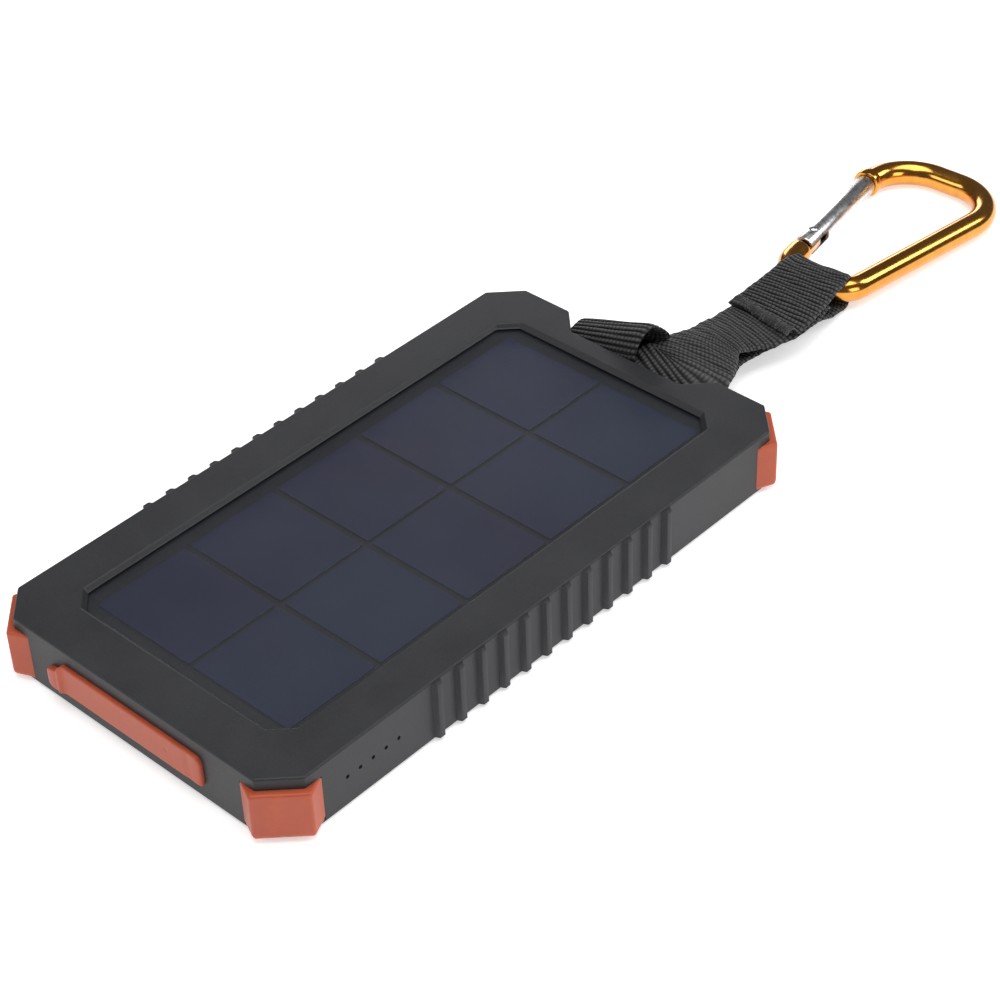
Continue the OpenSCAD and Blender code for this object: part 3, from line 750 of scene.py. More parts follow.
CELL_W, CELL_L, CELL_T = 24.5 * MM, 20.9 * MM, 0.2 * MM
CELL_Z = 11.8 * MM
wafer_bm = bmesh.new()
wafer_plan = softened([(CELL_W / 2, -CELL_L / 2), (CELL_W / 2, CELL_L / 2), (-CELL_W / 2, CELL_L / 2),
                       (-CELL_W / 2, -CELL_L / 2)], 0.25 * MM, 3)
wafer_rings = [ring(wafer_bm, inset(wafer_plan, d * MM), z) for z, d in
               ((0, 0.02), (0.04 * MM, 0), (0.15 * MM, 0), (CELL_T, 0.05))]
capped(wafer_bm, wafer_rings)
silicon = silicon_wafer()
one_wafer = add_piece("one_wafer", close_up(wafer_bm, "one_wafer"), silicon)
tree, given, made = group_with_inputs("wafer_array", [
    ("Wafer", "NodeSocketObject"), ("Columns", "NodeSocketInt"), ("Rows", "NodeSocketInt"),
    ("Width", "NodeSocketFloat"), ("Length", "NodeSocketFloat"), ("Place", "NodeSocketVector")])
grid = add_node(tree, "GeometryNodeMeshGrid", {
    "Vertices X": given.outputs["Columns"], "Vertices Y": given.outputs["Rows"],
    "Size X": given.outputs["Width"], "Size Y": given.outputs["Length"]})
info = add_node(tree, "GeometryNodeObjectInfo", {"Object": given.outputs["Wafer"]})
place = add_node(tree, "GeometryNodeInstanceOnPoints", {
    "Points": grid.outputs[0], "Instance": info.outputs["Geometry"]})
shift = add_node(tree, "GeometryNodeTransform", {
    "Translation": given.outputs["Place"], "Geometry": place.outputs[0]})
end_tree(tree, shift.outputs[0], silicon, made)
wafers = grown("solar_wafers", tree, {"Wafer": one_wafer, "Columns": 2, "Rows": 5, "Width": CELL_W + 0.9 * MM,
                                      "Length": 4 * 22.3 * MM, "Place": (0.8 * MM, 0, CELL_Z)})
bpy.data.objects.remove(one_wafer)
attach(wafers, "case")
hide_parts("solar_cells")

film_bm = bmesh.new()
film_plan = clipped_rectangle(59.2 * MM, 119.0 * MM, 1.5 * MM)
film_rings = [ring(film_bm, inset(film_plan, d * MM), z * MM) for z, d in
              ((12.02, 0.04), (12.05, 0), (12.36, 0), (12.4, 0.04))]
capped(film_bm, film_rings)
panel_film = add_piece("panel_film", close_up(film_bm, "panel_film"), satin_film())
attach(panel_film, "case")
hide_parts("panel_cover")
dress("panel_board", one_grain("dark_laminate", (0.007, 0.0075, 0.008), 0.5, 0.0, (1500, 3, 0.6), (
    (0.005, 0.0055, 0.006), (0.010, 0.0105, 0.011)), (0.42, 0.6), (0.00002, 0.4)))
tape_black = one_grain("foam_tape", (0.02, 0.02, 0.02), 0.85, 0.0, (3000, 3, 0.7), (
    (0.012, 0.012, 0.012), (0.03, 0.03, 0.031)), None, (0.00006, 0.8))
dress("panel_tape", tape_black)

# ---------------------------------------------------------------- battery and circuit board
# A flat lithium pouch in aluminium foil on a foam pad, wired to a green board at the front end that
# carries the charging chips, a coil, the indicator lights, the switch and both sockets.


def nickel_plate():
    finish = Surface("nickel_plate", (0.66, 0.65, 0.62), 0.26, 1.0)
    drawn = finish.noise(1, 3, 0.6, finish.stretched((2600, 120, 2600)))
    finish.coloured(drawn, (0.56, 0.55, 0.52), (0.74, 0.73, 0.7))
    finish.roughened(drawn, 0.2, 0.36)
    finish.bumped(drawn, 0.00001, 0.4)
    return finish.material


def plain_moulding(name, colour, rough):
    tones = [c * 0.86 for c in colour], [min(1.0, c * 1.1) for c in colour]
    return one_grain(name, colour, rough, 0.0, (2800, 2, 0.5), tones, (rough - 0.06, rough + 0.08),
                     (0.00001, 0.4))


foil = one_grain("pouch_foil", (0.7, 0.71, 0.73), 0.38, 1.0, (160, 4, 0.6),
                 ((0.58, 0.59, 0.61), (0.78, 0.79, 0.8)), (0.3, 0.5), (0.0001, 0.4))
board_green = one_grain("solder_mask", (0.015, 0.12, 0.05), 0.32, 0.0, (700, 2, 0.5),
                        ((0.012, 0.09, 0.04), (0.03, 0.17, 0.08)), None, (0.00003, 0.5))
resin = one_grain("chip_resin", (0.018, 0.018, 0.018), 0.62, 0.0, (4000, 2, 0.5),
                  ((0.012, 0.012, 0.012), (0.026, 0.026, 0.027)), None, (0.00001, 0.5))
ferrite = one_grain("pressed_ferrite", (0.085, 0.085, 0.09), 0.7, 0.0, (2500, 3, 0.7),
                    ((0.06, 0.06, 0.064), (0.12, 0.12, 0.124)), None, (0.00003, 0.6))
acrylic = one_grain("clear_acrylic", (0.8, 0.84, 0.88), 0.12, 0.0, (900, 2, 0.5),
                    ((0.74, 0.79, 0.84), (0.86, 0.89, 0.92)), (0.08, 0.2), None, Alpha=0.55)
nickel = nickel_plate()
white_moulding = plain_moulding("white_nylon", (0.74, 0.74, 0.71), 0.42)
red_sleeve = plain_moulding("red_sleeve", (0.42, 0.018, 0.018), 0.4)
black_sleeve = plain_moulding("black_sleeve", (0.018, 0.018, 0.018), 0.42)
for part, material, slot_name in (
        ("panel_leads", red_sleeve, "wire_red"), ("battery_pad", tape_black, "foam_tape"),
        ("battery_cell", foil, "battery_foil"), ("battery_leads", black_sleeve, "wire_black"),
        ("circuit_board", board_green, "board_green"), ("board_screws", zinc, "screw_steel"),
        ("charge_chip", resin, "chip_black"), ("coil_inductor", ferrite, "ferrite"),
        ("usb_a_shell", nickel, "nickel_shell"), ("usb_a_tongue", white_moulding, "white_plastic"),
        ("usb_c_shell", nickel, "nickel_shell"), ("usb_c_tongue", resin, "chip_black"),
        ("indicator_leds", white_moulding, "white_plastic"), ("light_pipe", acrylic, "clear_acrylic"),
        ("switch_body", resin, "chip_black")):
    dress(part, material)

# ---------------------------------------------------------------- power button
# A long push button in the left wall, moulded in the case's plastic with a flange that keeps it in and a
# plunger that presses the switch.

button_bm = bmesh.new()
button_rings = []
for x, length, height in ((-37.96, 5.5, 1.6), (-37.995, 6.0, 2.0), (-37.95, 6.35, 2.35), (-37.84, 6.6, 2.6),
                          (-37.66, 6.76, 2.76), (-37.4, 6.8, 2.8), (-35.4, 6.8, 2.8), (-35.4, 8.2, 4.2),
                          (-34.7, 8.2, 4.2)):
    button_rings.append([button_bm.verts.new((x * MM, SIDE_Y + p[0] * MM, SIDE_Z + p[1] * MM))
                         for p in slot_outline(length, height)])
capped(button_bm, button_rings)
peg(button_bm, (-34.75 * MM, SIDE_Y, SIDE_Z), (-32.4 * MM, SIDE_Y, SIDE_Z), 0.8 * MM, 20)
push_button = add_piece("push_button", close_up(button_bm, "push_button"), charcoal)
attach(push_button, "power_button")
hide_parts("power_button")

# ---------------------------------------------------------------- port cover
# One rubber moulding: a flap with a pull tab at its left end, two plugs that close the sockets, and a
# thin living hinge at its right end, held by a stem pushed through the wall.

WALL_Y = -68.5
columns = [(-22.42, 5.9, 6.5, 0.35), (-22.36, 5.4, 7.0, 0.62), (-22.15, 4.86, 7.55, 0.9),
           (-21.8, 4.4, 8.0, 1.08), (-21.3, 4.1, 8.32, 1.18), (-20.7, 3.92, 8.5, 1.22),
           (-20.1, 3.88, 8.56, 1.22), (-19.6, 3.9, 8.6, 1.18), (-19.3, 3.95, 8.75, 1.16),
           (-19.05, 4.0, 9.1, 1.24), (-18.85, 4.03, 9.5, 1.4), (-18.6, 4.06, 9.85, 1.46),
           (-18.3, 4.08, 10.15, 1.4), (-18.0, 4.1, 10.36, 1.2), (-17.6, 4.1, 10.5, 1.0),
           (-17.2, 4.1, 10.55, 0.92)]
x = -16.8
for limit, step_x in ((8.4, 0.8), (11.2, 0.2)):
    while x < limit:
        columns.append((x, 4.1, 10.55, 0.9))
        x += step_x
while x < 16.9:
    thin = 0.1 * math.exp(-((x - 15.4) / 0.9) ** 2)
    columns.append((x, 4.1, 10.55, 0.9 - thin))
    x += 0.25
columns += [(17.1, 4.1, 10.5, 0.9), (17.4, 4.1, 10.4, 0.9), (17.7, 4.1, 10.2, 0.88),
            (17.95, 4.12, 9.92, 0.86), (18.15, 4.16, 9.6, 0.8), (18.3, 4.24, 9.3, 0.68),
            (18.38, 4.36, 9.05, 0.45)]


def flap_section(x, low, high, thick):
    """A flat-backed section with rounded front edges and enough rows to carry the dimple."""
    edge = min(0.3, thick * 0.6, (high - low) * 0.3)
    points = [(0.0, low + 0.04), (thick - edge, low)]
    for k in range(1, 4):
        a = math.pi / 2 * k / 4
        points.append((thick - edge + edge * math.sin(a), low + edge * (1 - math.cos(a))))
    rows = 26
    for k in range(rows + 1):
        z = low + edge + (high - low - 2 * edge) * k / rows
        distance = math.hypot(x - 9.7, z - 7.6)
        points.append((thick - 0.14 * math.exp(-(distance / 0.42) ** 2), z))
    for k in range(3, 0, -1):
        a = math.pi / 2 * k / 4
        points.append((thick - edge + edge * math.sin(a), high - edge * (1 - math.cos(a))))
    points += [(thick - edge, high), (0.0, high - 0.04)]
    return [(x * MM, (WALL_Y - y - 0.01) * MM, z * MM) for y, z in points]


flap_bm = bmesh.new()
flap_rings = [[flap_bm.verts.new(p) for p in flap_section(*column)] for column in columns]
capped(flap_bm, flap_rings)
rubber_cover = add_piece("rubber_port_cover", close_up(flap_bm, "rubber_port_cover"), orange, 50)
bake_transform(rubber_cover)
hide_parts("port_cover", "cover_anchor")


def rounded_plug(bm, x, z, width, height, radius, depth):
    plan = softened([(width / 2, -height / 2), (width / 2, height / 2), (-width / 2, height / 2),
                     (-width / 2, -height / 2)], radius, 6)
    rings = []
    for y, d in ((0.0, 0), (depth - 0.35, 0.02), (depth - 0.12, 0.1), (depth, 0.3)):
        rings.append([bm.verts.new(((x + p[0]) * MM, (WALL_Y + y) * MM, (z + p[1]) * MM))
                      for p in inset(plan, d)])
    capped(bm, rings)


plug_bm = bmesh.new()
rounded_plug(plug_bm, -8.5, 7.325, 11.8, 4.42, 0.5, 1.7)
rounded_plug(plug_bm, 7.2, 6.15, 7.64, 1.86, 0.9, 1.7)
plugs = add_piece("socket_plugs", close_up(plug_bm, "socket_plugs"), orange, 40)
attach(plugs, "port_cover")
stem_bm = bmesh.new()
turned(stem_bm, [(0, 0), (0.93, 0), (0.93, 2.05), (1.5, 2.1), (1.45, 2.4), (1.1, 2.55), (0, 2.6)])
stem_mesh = close_up(stem_bm, "cover_stem")
stem_mesh.transform(Matrix.Translation((STEM_X, WALL_Y * MM, PORT_Z))
                    @ Matrix.Rotation(-math.pi / 2, 4, "X") @ Matrix.Scale(MM, 4))
stem = add_piece("cover_stem", stem_mesh, orange)
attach(stem, "case")

# ---------------------------------------------------------------- strap bar
# A blackened steel pin that the webbing turns round. It crosses the notch and is pressed into a hole
# in each of its side walls.

bar_bm = bmesh.new()
turned(bar_bm, [(0, -20.6), (1.25, -20.6), (1.48, -20.35), (1.48, 20.35), (1.25, 20.6), (0, 20.6)])
bar_mesh = close_up(bar_bm, "bar_pin")
bar_mesh.transform(Matrix.Translation((0, BAR_Y, BAR_Z)) @ Matrix.Rotation(math.pi / 2, 4, "Y")
                   @ Matrix.Scale(MM, 4))
bar_steel = one_grain("blackened_steel", (0.05, 0.05, 0.052), 0.36, 1.0, (420, 4, 0.65),
                      ((0.03, 0.03, 0.032), (0.1, 0.1, 0.1)), (0.28, 0.46), (0.00002, 0.4))
bar_pin = add_piece("bar_pin", bar_mesh, bar_steel)
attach(bar_pin, "case")
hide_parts("strap_bar")

# ---------------------------------------------------------------- webbing strap
# One length of 20 mm black nylon webbing with a coarse cross rib. A loose turn stays round the bar; the
# rest runs doubled from the bar to the carabiner, wraps its narrow end and is sewn down on itself.

WEB_T = 1.25 * MM
RIB_STEP = 1.12 * MM
RIB_RISE = 0.3
WEB_HALF = 9.3


def black_nylon():
    """Ribs lie across the length; u runs along the webbing and v across it, both in metres."""
    finish = Surface("black_nylon", (0.02, 0.02, 0.022), 0.62, space="UV", Sheen_Weight=0.12,
                     Sheen_Roughness=0.4, Specular_IOR_Level=0.35)
    parts = finish.tree.nodes.new("ShaderNodeSeparateXYZ")
    finish.link(finish.place, parts.inputs[0])
    along = finish.math("DIVIDE", parts.outputs["X"], RIB_STEP)
    row = finish.math("FLOOR", along, 0.0)
    stagger = finish.math("MULTIPLY", finish.math("MODULO", row, 2.0), 0.5)
    across = finish.math("ADD", finish.math("DIVIDE", parts.outputs["Y"], 0.92 * MM), stagger)
    crown = finish.math("ABSOLUTE", finish.math("SINE", finish.math("MULTIPLY", along, math.pi)), 0.0)
    bead = finish.math("ABSOLUTE", finish.math("SINE", finish.math("MULTIPLY", across, math.pi)), 0.0)
    knuckle = finish.math("MULTIPLY", crown, finish.math("ADD", finish.math("MULTIPLY", bead, 0.65), 0.35))
    strands = finish.noise(1, 3, 0.6, finish.stretched((2600, 9000, 1)))
    wander = finish.noise(420, 3, 0.6)
    # The colour follows the ribs: near black in the valleys between them and lighter on their crowns. This is
    # painted shade in the valleys and a painted highlight on the crowns, mixed with the yarn's own uneven
    # tone from the strands and wander noise.
    tone_with_painted_rib_shading = finish.math("ADD", finish.math("MULTIPLY", knuckle, 0.62),
                       finish.mixed(strands, 0.28, wander, 0.2))
    finish.coloured(tone_with_painted_rib_shading, (0.0012, 0.0012, 0.0014), (0.095, 0.095, 0.1), (0.34, 0.95))
    finish.roughened(strands, 0.5, 0.72)
    finish.bumped(knuckle, 0.0003, 1.0)
    finish.bumped(strands, 0.00005, 0.6)
    return finish.material


nylon = black_nylon()


def eased(keys, count):
    """Points on a smooth curve through rows of numbers, evenly spaced by the first three."""
    dense = []
    for i in range(len(keys) - 1):
        rows = [keys[max(0, i - 1)], keys[i], keys[i + 1], keys[min(len(keys) - 1, i + 2)]]
        spans = [max(1e-6, math.dist(a[:3], b[:3]) ** 0.5) for a, b in zip(rows, rows[1:])]
        for k in range(40):
            t = k / 40
            value = []
            for a, b, c, d in zip(*rows):
                m1 = m2 = c - b
                if i > 0:
                    m1 = c - b + spans[1] * ((b - a) / spans[0] - (c - a) / (spans[0] + spans[1]))
                if i < len(keys) - 2:
                    m2 = c - b + spans[1] * ((d - c) / spans[2] - (d - b) / (spans[1] + spans[2]))
                value.append(b * (2 * t ** 3 - 3 * t ** 2 + 1) + m1 * (t ** 3 - 2 * t ** 2 + t)
                             + c * (3 * t ** 2 - 2 * t ** 3) + m2 * (t ** 3 - t ** 2))
            dense.append(value)
    dense.append(list(keys[-1]))
    lengths = [0.0]
    for a, b in zip(dense, dense[1:]):
        lengths.append(lengths[-1] + math.dist(a[:3], b[:3]))
    made, j = [], 0
    for k in range(count):
        target = lengths[-1] * k / (count - 1)
        while j < len(dense) - 2 and lengths[j + 1] < target:
            j += 1
        share = (target - lengths[j]) / max(1e-9, lengths[j + 1] - lengths[j])
        made.append([a + (b - a) * min(1.0, share) for a, b in zip(dense[j], dense[j + 1])])
    return made, lengths[-1]


def ripple(u, v):
    """The slight unevenness of used webbing, in millimetres."""
    return (0.16 * math.sin(u * 0.9 + v * 0.35) * math.sin(v * 0.22 + u * 0.16)
            + 0.07 * math.sin(u * 2.7 - v * 0.6 + 1.3))


def half_thickness(s, phase):
    """Half the webbing's thickness, at s across it and at a phase of its ribs; it thins to its edges."""
    rib = RIB_RISE * abs(math.sin(phase)) ** 0.7
    edge = math.sqrt(max(0.0, 1 - abs(s) ** 14))
    return (0.5 * WEB_T / MM - RIB_RISE) * (0.25 + 0.75 * edge) + rib * edge


def ribbon(name, keys, adjust, across=30, per_rib=6):
    """Webbing swept along keys of (x, y, z, half width, lean, turn, arch), in millimetres.
    Lean raises its right edge, turn swings that edge forwards and arch lifts its middle."""
    _, length = eased(keys, 200)
    rows = int(length / (RIB_STEP / MM)) * per_rib + 1
    path, length = eased(keys, rows)
    bm = bmesh.new()
    weave = bm.loops.layers.uv.new("weave")
    spots = []
    for i, p in enumerate(path):
        a, b = path[max(0, i - 1)], path[min(rows - 1, i + 1)]
        along = (Vector(b[:3]) - Vector(a[:3])).normalized()
        wide = Vector((1.0, p[5], p[4]))
        wide = (wide - along * wide.dot(along)).normalized()
        up = wide.cross(along).normalized()
        u = length * i / (rows - 1)
        phase = (u / (RIB_STEP / MM)) * math.pi
        ring_points = []
        for side in (1, -1):
            for k in range(across + 1):
                s = -1 + 2 * k / across
                if side < 0:
                    s = -s
                rise = p[6] * (1 - s * s) + ripple(u, s * WEB_HALF) + side * half_thickness(s, phase)
                ring_points.append(adjust(Vector(p[:3]) + wide * (s * p[3]) + up * rise) * MM)
        spots.append([bm.verts.new(q) for q in ring_points])
    seam = []
    for side in (1, -1):
        for k in range(across + 1):
            s = -1 + 2 * k / across
            seam.append(((s if side > 0 else -s) * WEB_HALF + WEB_HALF) * MM)
    count = len(spots[0])
    for i in range(rows - 1):
        low, high = spots[i], spots[i + 1]
        u0, u1 = length * i / (rows - 1) * MM, length * (i + 1) / (rows - 1) * MM
        for k in range(count):
            m = (k + 1) % count
            face = bm.faces.new((low[k], low[m], high[m], high[k]))
            corners = ((u0, seam[k]), (u0, seam[m]), (u1, seam[m]), (u1, seam[k]))
            for corner_loop, uv in zip(face.loops, corners):
                corner_loop[weave].uv = uv
    for end, order in ((spots[0], -1), (spots[-1], 1)):
        for k in range(across):
            quad = (end[k], end[k + 1], end[count - 2 - k], end[count - 1 - k])
            bm.faces.new(quad if order > 0 else quad[::-1])
    return add_piece(name, close_up(bm, name, merge=False), nylon, 60)


def roll_spot(angle, share):
    """A point of the loose turn, which is narrow at its left edge and splayed open at its right edge."""
    low, top = 4.78, 11.6 + 6.7 * share
    z = (top + low) / 2 + (top - low) / 2 * math.sin(angle)
    height = (z - low) / (top - low)
    middle = 66.6 + (2.4 + 0.8 * share) * height
    if math.cos(angle) < 0:
        reach = middle - 64.15
    else:
        reach = 2.4 + (1.0 + 3.9 * share) * math.sin(math.pi * min(1.0, height))
    lifted = max(0.0, min(1.0, (z - 9.5) / 3.5))
    right = -2.2 + 4.1 * lifted * lifted * (3 - 2 * lifted)
    return Vector((-17.3 + (right + 17.3) * share, middle + reach * math.cos(angle), z))


def loose_turn():
    across, around = 34, 240
    bm = bmesh.new()
    weave = bm.loops.layers.uv.new("weave")
    grid_outer, grid_inner = [], []
    girth = 36.0
    ribs = round(girth / (RIB_STEP / MM))
    for i in range(around):
        a = -math.pi / 2 - 2 * math.pi * i / around
        phase = math.pi * ribs * i / around
        rows = ([], [])
        for k in range(across + 1):
            share = k / across
            here = roll_spot(a, share)
            on = roll_spot(a - 0.01, share)
            side = roll_spot(a, min(1.0, share + 0.01)) - roll_spot(a, max(0.0, share - 0.01))
            out = side.cross(on - here).normalized()
            s = 2 * share - 1
            thick = half_thickness(s, phase)
            wave = 0.5 * ripple(12 * math.sin(a), s * WEB_HALF)
            for row, sign in zip(rows, (1, -1)):
                row.append(bm.verts.new((here + out * (wave + sign * thick)) * MM))
        grid_outer.append(rows[0])
        grid_inner.append(rows[1])
    for i in range(around):
        j = (i + 1) % around
        u0, u1 = i / around * ribs * RIB_STEP, (i + 1) / around * ribs * RIB_STEP
        for grid_side in (grid_outer, grid_inner):
            for k in range(across):
                face = bm.faces.new((grid_side[i][k], grid_side[i][k + 1],
                                     grid_side[j][k + 1], grid_side[j][k]))
                v0, v1 = 2 * WEB_HALF * MM * k / across, 2 * WEB_HALF * MM * (k + 1) / across
                for corner_loop, uv in zip(face.loops, ((u0, v0), (u0, v1), (u1, v1), (u1, v0))):
                    corner_loop[weave].uv = uv
        for k in (0, across):
            bm.faces.new((grid_outer[i][k], grid_outer[j][k], grid_inner[j][k], grid_inner[i][k]))
    return add_piece("webbing_turn", close_up(bm, "webbing_turn", merge=False), nylon, 60)


webbing_turn = loose_turn()
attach(webbing_turn, "case")
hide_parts("strap_hitch")

EYE_X, EYE_Y, EYE_Z = 4.4002, 120.663, 4.4


def round_the_eye(spot):
    """Lets the webbing follow the carabiner's rounded narrow end, whose sides curve away from the bar."""
    near = max(0.0, min(1.0, (spot.y - 112) / 9))
    near = near * near * (3 - 2 * near)
    off = spot.x - EYE_X
    bow = 6 - math.sqrt(max(0.0, 36 - min(4.8, max(0.0, abs(off) - 2.9)) ** 2))
    return spot + Vector((0, bow * near * (1.0 if off < 0 else 0.3), 0))


strap_keys = [
    (7.5, 98.9, 7.6, 9.0, -0.02, -0.15, 0.0),
    (7.4, 103.0, 7.75, 9.0, -0.02, -0.04, 0.15),
    (6.8, 109.0, 7.85, 8.5, -0.02, 0.04, 0.25),
    (6.0, 115.0, 8.0, 8.1, -0.01, 0.06, 0.2),
    (5.4, 118.8, 8.0, 7.8, -0.01, 0.05, 0.1),
    (5.1, 121.0, 7.85, 7.5, 0.0, 0.04, 0.0),
    (4.9, 123.2, 6.7, 7.0, 0.0, 0.03, 0.0),
    (4.8, 124.1, 4.4, 6.7, 0.0, 0.03, 0.0),
    (4.9, 123.1, 1.9, 7.0, 0.0, 0.03, 0.0),
    (5.1, 120.7, 0.95, 7.6, 0.0, 0.04, 0.0),
    (5.5, 116.0, 1.8, 8.2, 0.0, 0.06, 0.0),
    (6.0, 110.0, 4.0, 8.5, 0.0, 0.06, 0.0),
    (6.1, 104.0, 4.9, 8.5, -0.02, 0.08, 0.1),
    (5.6, 97.0, 5.1, 8.2, -0.03, 0.08, 0.2),
    (5.2, 90.0, 5.2, 7.6, -0.03, 0.08, 0.5),
    (5.4, 84.5, 5.6, 7.4, -0.03, 0.06, 0.6),
    (7.0, 77.0, 5.9, 8.2, -0.06, 0.05, 0.4),
    (8.3, 71.5, 5.3, 8.6, -0.04, 0.02, 0.1),
    (7.4, 68.0, 4.62, 8.1, 0.0, 0.0, 0.0),
    (6.9, 66.2, 4.56, 7.7, 0.0, 0.0, 0.0),
    (6.4, 64.65, 5.6, 7.3, -0.02, 0.0, 0.0),
    (6.3, 64.15, 7.4, 7.3, -0.04, 0.0, 0.0),
    (6.5, 64.8, 9.3, 7.6, -0.07, 0.02, 0.1),
    (7.5, 66.9, 10.6, 8.7, -0.1, 0.05, 0.2),
    (8.7, 70.6, 10.9, 10.0, -0.1, 0.08, 0.3),
    (7.7, 75.2, 10.3, 9.7, -0.08, 0.1, 0.7),
    (6.5, 79.6, 9.4, 8.5, -0.04, 0.1, 1.1),
    (5.6, 84.0, 8.4, 7.0, 0.0, 0.09, 1.3),
    (5.7, 88.5, 7.5, 7.1, -0.02, 0.08, 1.1),
    (6.3, 93.0, 6.75, 7.7, -0.04, 0.08, 0.8),
    (7.0, 97.5, 6.35, 8.4, -0.03, 0.06, 0.35),
    (7.3, 102.5, 6.2, 8.8, -0.02, 0.04, 0.1),
    (6.9, 107.5, 6.3, 8.7, -0.02, 0.05, 0.1),
    (6.4, 112.0, 6.4, 8.4, -0.02, 0.06, 0.1),
]
strap = ribbon("webbing_strap", strap_keys, round_the_eye)
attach(strap, "strap")
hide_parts("strap_webbing")

# ---------------------------------------------------------------- bar tack
# A dense band of stitching in soft black thread that is sewn through both layers to close the loop,
# with loose fibres standing up from it.


def fuzzy_thread():
    finish = Surface("fuzzy_thread", (0.012, 0.012, 0.013), 0.8, Sheen_Weight=0.8, Sheen_Roughness=0.5,
                     Specular_IOR_Level=0.2)
    fibre = finish.noise(5200, 3, 0.7)
    clumps = finish.noise(900, 3, 0.6)
    finish.coloured(finish.mixed(fibre, 0.5, clumps, 0.5),
                    (0.005, 0.005, 0.006), (0.032, 0.031, 0.034))
    finish.roughened(clumps, 0.7, 0.9)
    finish.bumped(fibre, 0.00008, 0.8)
    return finish.material


thread = fuzzy_thread()


def thread_stitch(name, length, height, radius, sides=5, steps=6):
    """One arched stitch along X, its ends below the cloth."""
    bm = bmesh.new()
    rings = []
    for k in range(steps + 1):
        t = k / steps
        x, z = (t - 0.5) * length, height * math.sin(math.pi * t) - 0.0002
        slope = Vector((length, 0, height * math.pi * math.cos(math.pi * t))).normalized()
        up = slope.cross(Vector((0, 1, 0)))
        rings.append([bm.verts.new(Vector((x, 0, z)) + Vector((0, 1, 0)) * radius * math.cos(b)
                                   + up * radius * math.sin(b))
                      for b in (2 * math.pi * i / sides for i in range(sides))])
    capped(bm, rings)
    return add_piece(name, close_up(bm, name), thread, 60)


tack_stitch = thread_stitch("tack_stitch", 2.7 * MM, 0.55 * MM, 0.17 * MM)
tack_fibre = thread_stitch("tack_fibre", 0.9 * MM, 0.5 * MM, 0.022 * MM, 3, 4)
tree, given, made = group_with_inputs("bar_tack", [
    ("Stitch", "NodeSocketObject"), ("Fibre", "NodeSocketObject"), ("Stitches", "NodeSocketInt"),
    ("Fibres", "NodeSocketInt"), ("Start", "NodeSocketVector"), ("End", "NodeSocketVector")])


def scattered(label, count, spread, turn_low, turn_high, seed, size_low, size_high):
    """Instances along the line from Start to End, each a little off it and turned by its own amount."""
    run = add_node(tree, "GeometryNodeMeshLine", {
        "Count": given.outputs[count], "Start Location": given.outputs["Start"],
        "Offset": given.outputs["End"]}, mode="END_POINTS")
    off = add_node(tree, "FunctionNodeRandomValue", {
        "Min": [-v for v in spread], "Max": spread, "Seed": seed}, data_type="FLOAT_VECTOR")
    move = add_node(tree, "GeometryNodeSetPosition", {"Geometry": run.outputs[0], "Offset": off.outputs[0]})
    spin = add_node(tree, "FunctionNodeRandomValue", {
        "Min": turn_low, "Max": turn_high, "Seed": seed + 1}, data_type="FLOAT_VECTOR")
    size = add_node(tree, "FunctionNodeRandomValue", {2: size_low, 3: size_high, "Seed": seed + 2},
                    data_type="FLOAT")
    thing = add_node(tree, "GeometryNodeObjectInfo", {"Object": given.outputs[label]})
    put = add_node(tree, "GeometryNodeInstanceOnPoints", {
        "Points": move.outputs[0], "Instance": thing.outputs["Geometry"],
        "Rotation": spin.outputs[0], "Scale": size.outputs[1]})
    return put.outputs[0]


across = math.pi / 2 - 0.16
end_tree(tree, gathered(tree, (
    scattered("Stitch", "Stitches", (0.00004, 0.00035, 0.00012),
              (0, -0.12, across - 0.35), (0, 0.12, across + 0.35), 11, 0.8, 1.05),
    scattered("Fibre", "Fibres", (0.0003, 0.00145, 0.00025),
              (-0.9, -0.9, 0.0), (0.9, 0.9, 6.28), 23, 0.5, 1.2))), thread, made)
bar_tack = grown("bar_tack", tree, {
    "Stitch": tack_stitch, "Fibre": tack_fibre, "Stitches": 110, "Fibres": 620,
    "Start": (-0.9 * MM, 101.0 * MM, 8.2 * MM), "End": (15.3 * MM, 98.3 * MM, 8.0 * MM)})
bpy.data.objects.remove(tack_stitch)
bpy.data.objects.remove(tack_fibre)
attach(bar_tack, "strap")
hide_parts("strap_stitching")

# ---------------------------------------------------------------- carabiner
# A D-shaped snap hook bent from 5.5 mm aluminium rod and anodised gold: a flattened tongue inside the
# gate's hinge end, and a collared nose with a flat latch inside its other end.


def gold_anodising():
    finish = Surface("gold_anodising", (0.7, 0.31, 0.05), 0.16, 1.0, Coat_Weight=0.25, Coat_Roughness=0.08)
    rub = finish.noise(70, 4, 0.6)
    lines = finish.noise(1, 3, 0.6, finish.stretched((900, 900, 120), (0.3, 0.2, 0.6)))
    finish.coloured(finish.mixed(rub, 0.6, lines, 0.4),
                    (0.62, 0.25, 0.035), (0.78, 0.36, 0.065))
    finish.roughened(finish.mixed(rub, 0.5, lines, 0.5), 0.13, 0.2)
    return finish.material


RING_L, RING_C, RING_B, RING_T = 54.5, 2.9, 6.0, 11.4
RING_A = math.asin((RING_T - RING_B) / (RING_L - RING_B - RING_T))
LEG_U = RING_C + RING_B * math.cos(RING_A)
LEG_V = RING_B - RING_B * math.sin(RING_A)
LEG_L = math.sqrt((RING_L - RING_B - RING_T) ** 2 - (RING_T - RING_B) ** 2)
NOSE_S, PIVOT_S = LEG_L + 0.2, 9.8
ROD_R = 2.75
YAW, NOSE_DROP = math.radians(2.45), 1.6
at_eye = (Matrix.Translation((EYE_X * MM, EYE_Y * MM, EYE_Z * MM)) @ Matrix.Rotation(YAW, 4, "Z")
          @ Matrix.Rotation(-math.asin(NOSE_DROP / RING_L), 4, "X") @ Matrix.Scale(MM, 4))
at_gate = at_eye @ Matrix.Translation((-LEG_U, LEG_V, 0)) @ Matrix.Rotation(RING_A, 4, "Z")


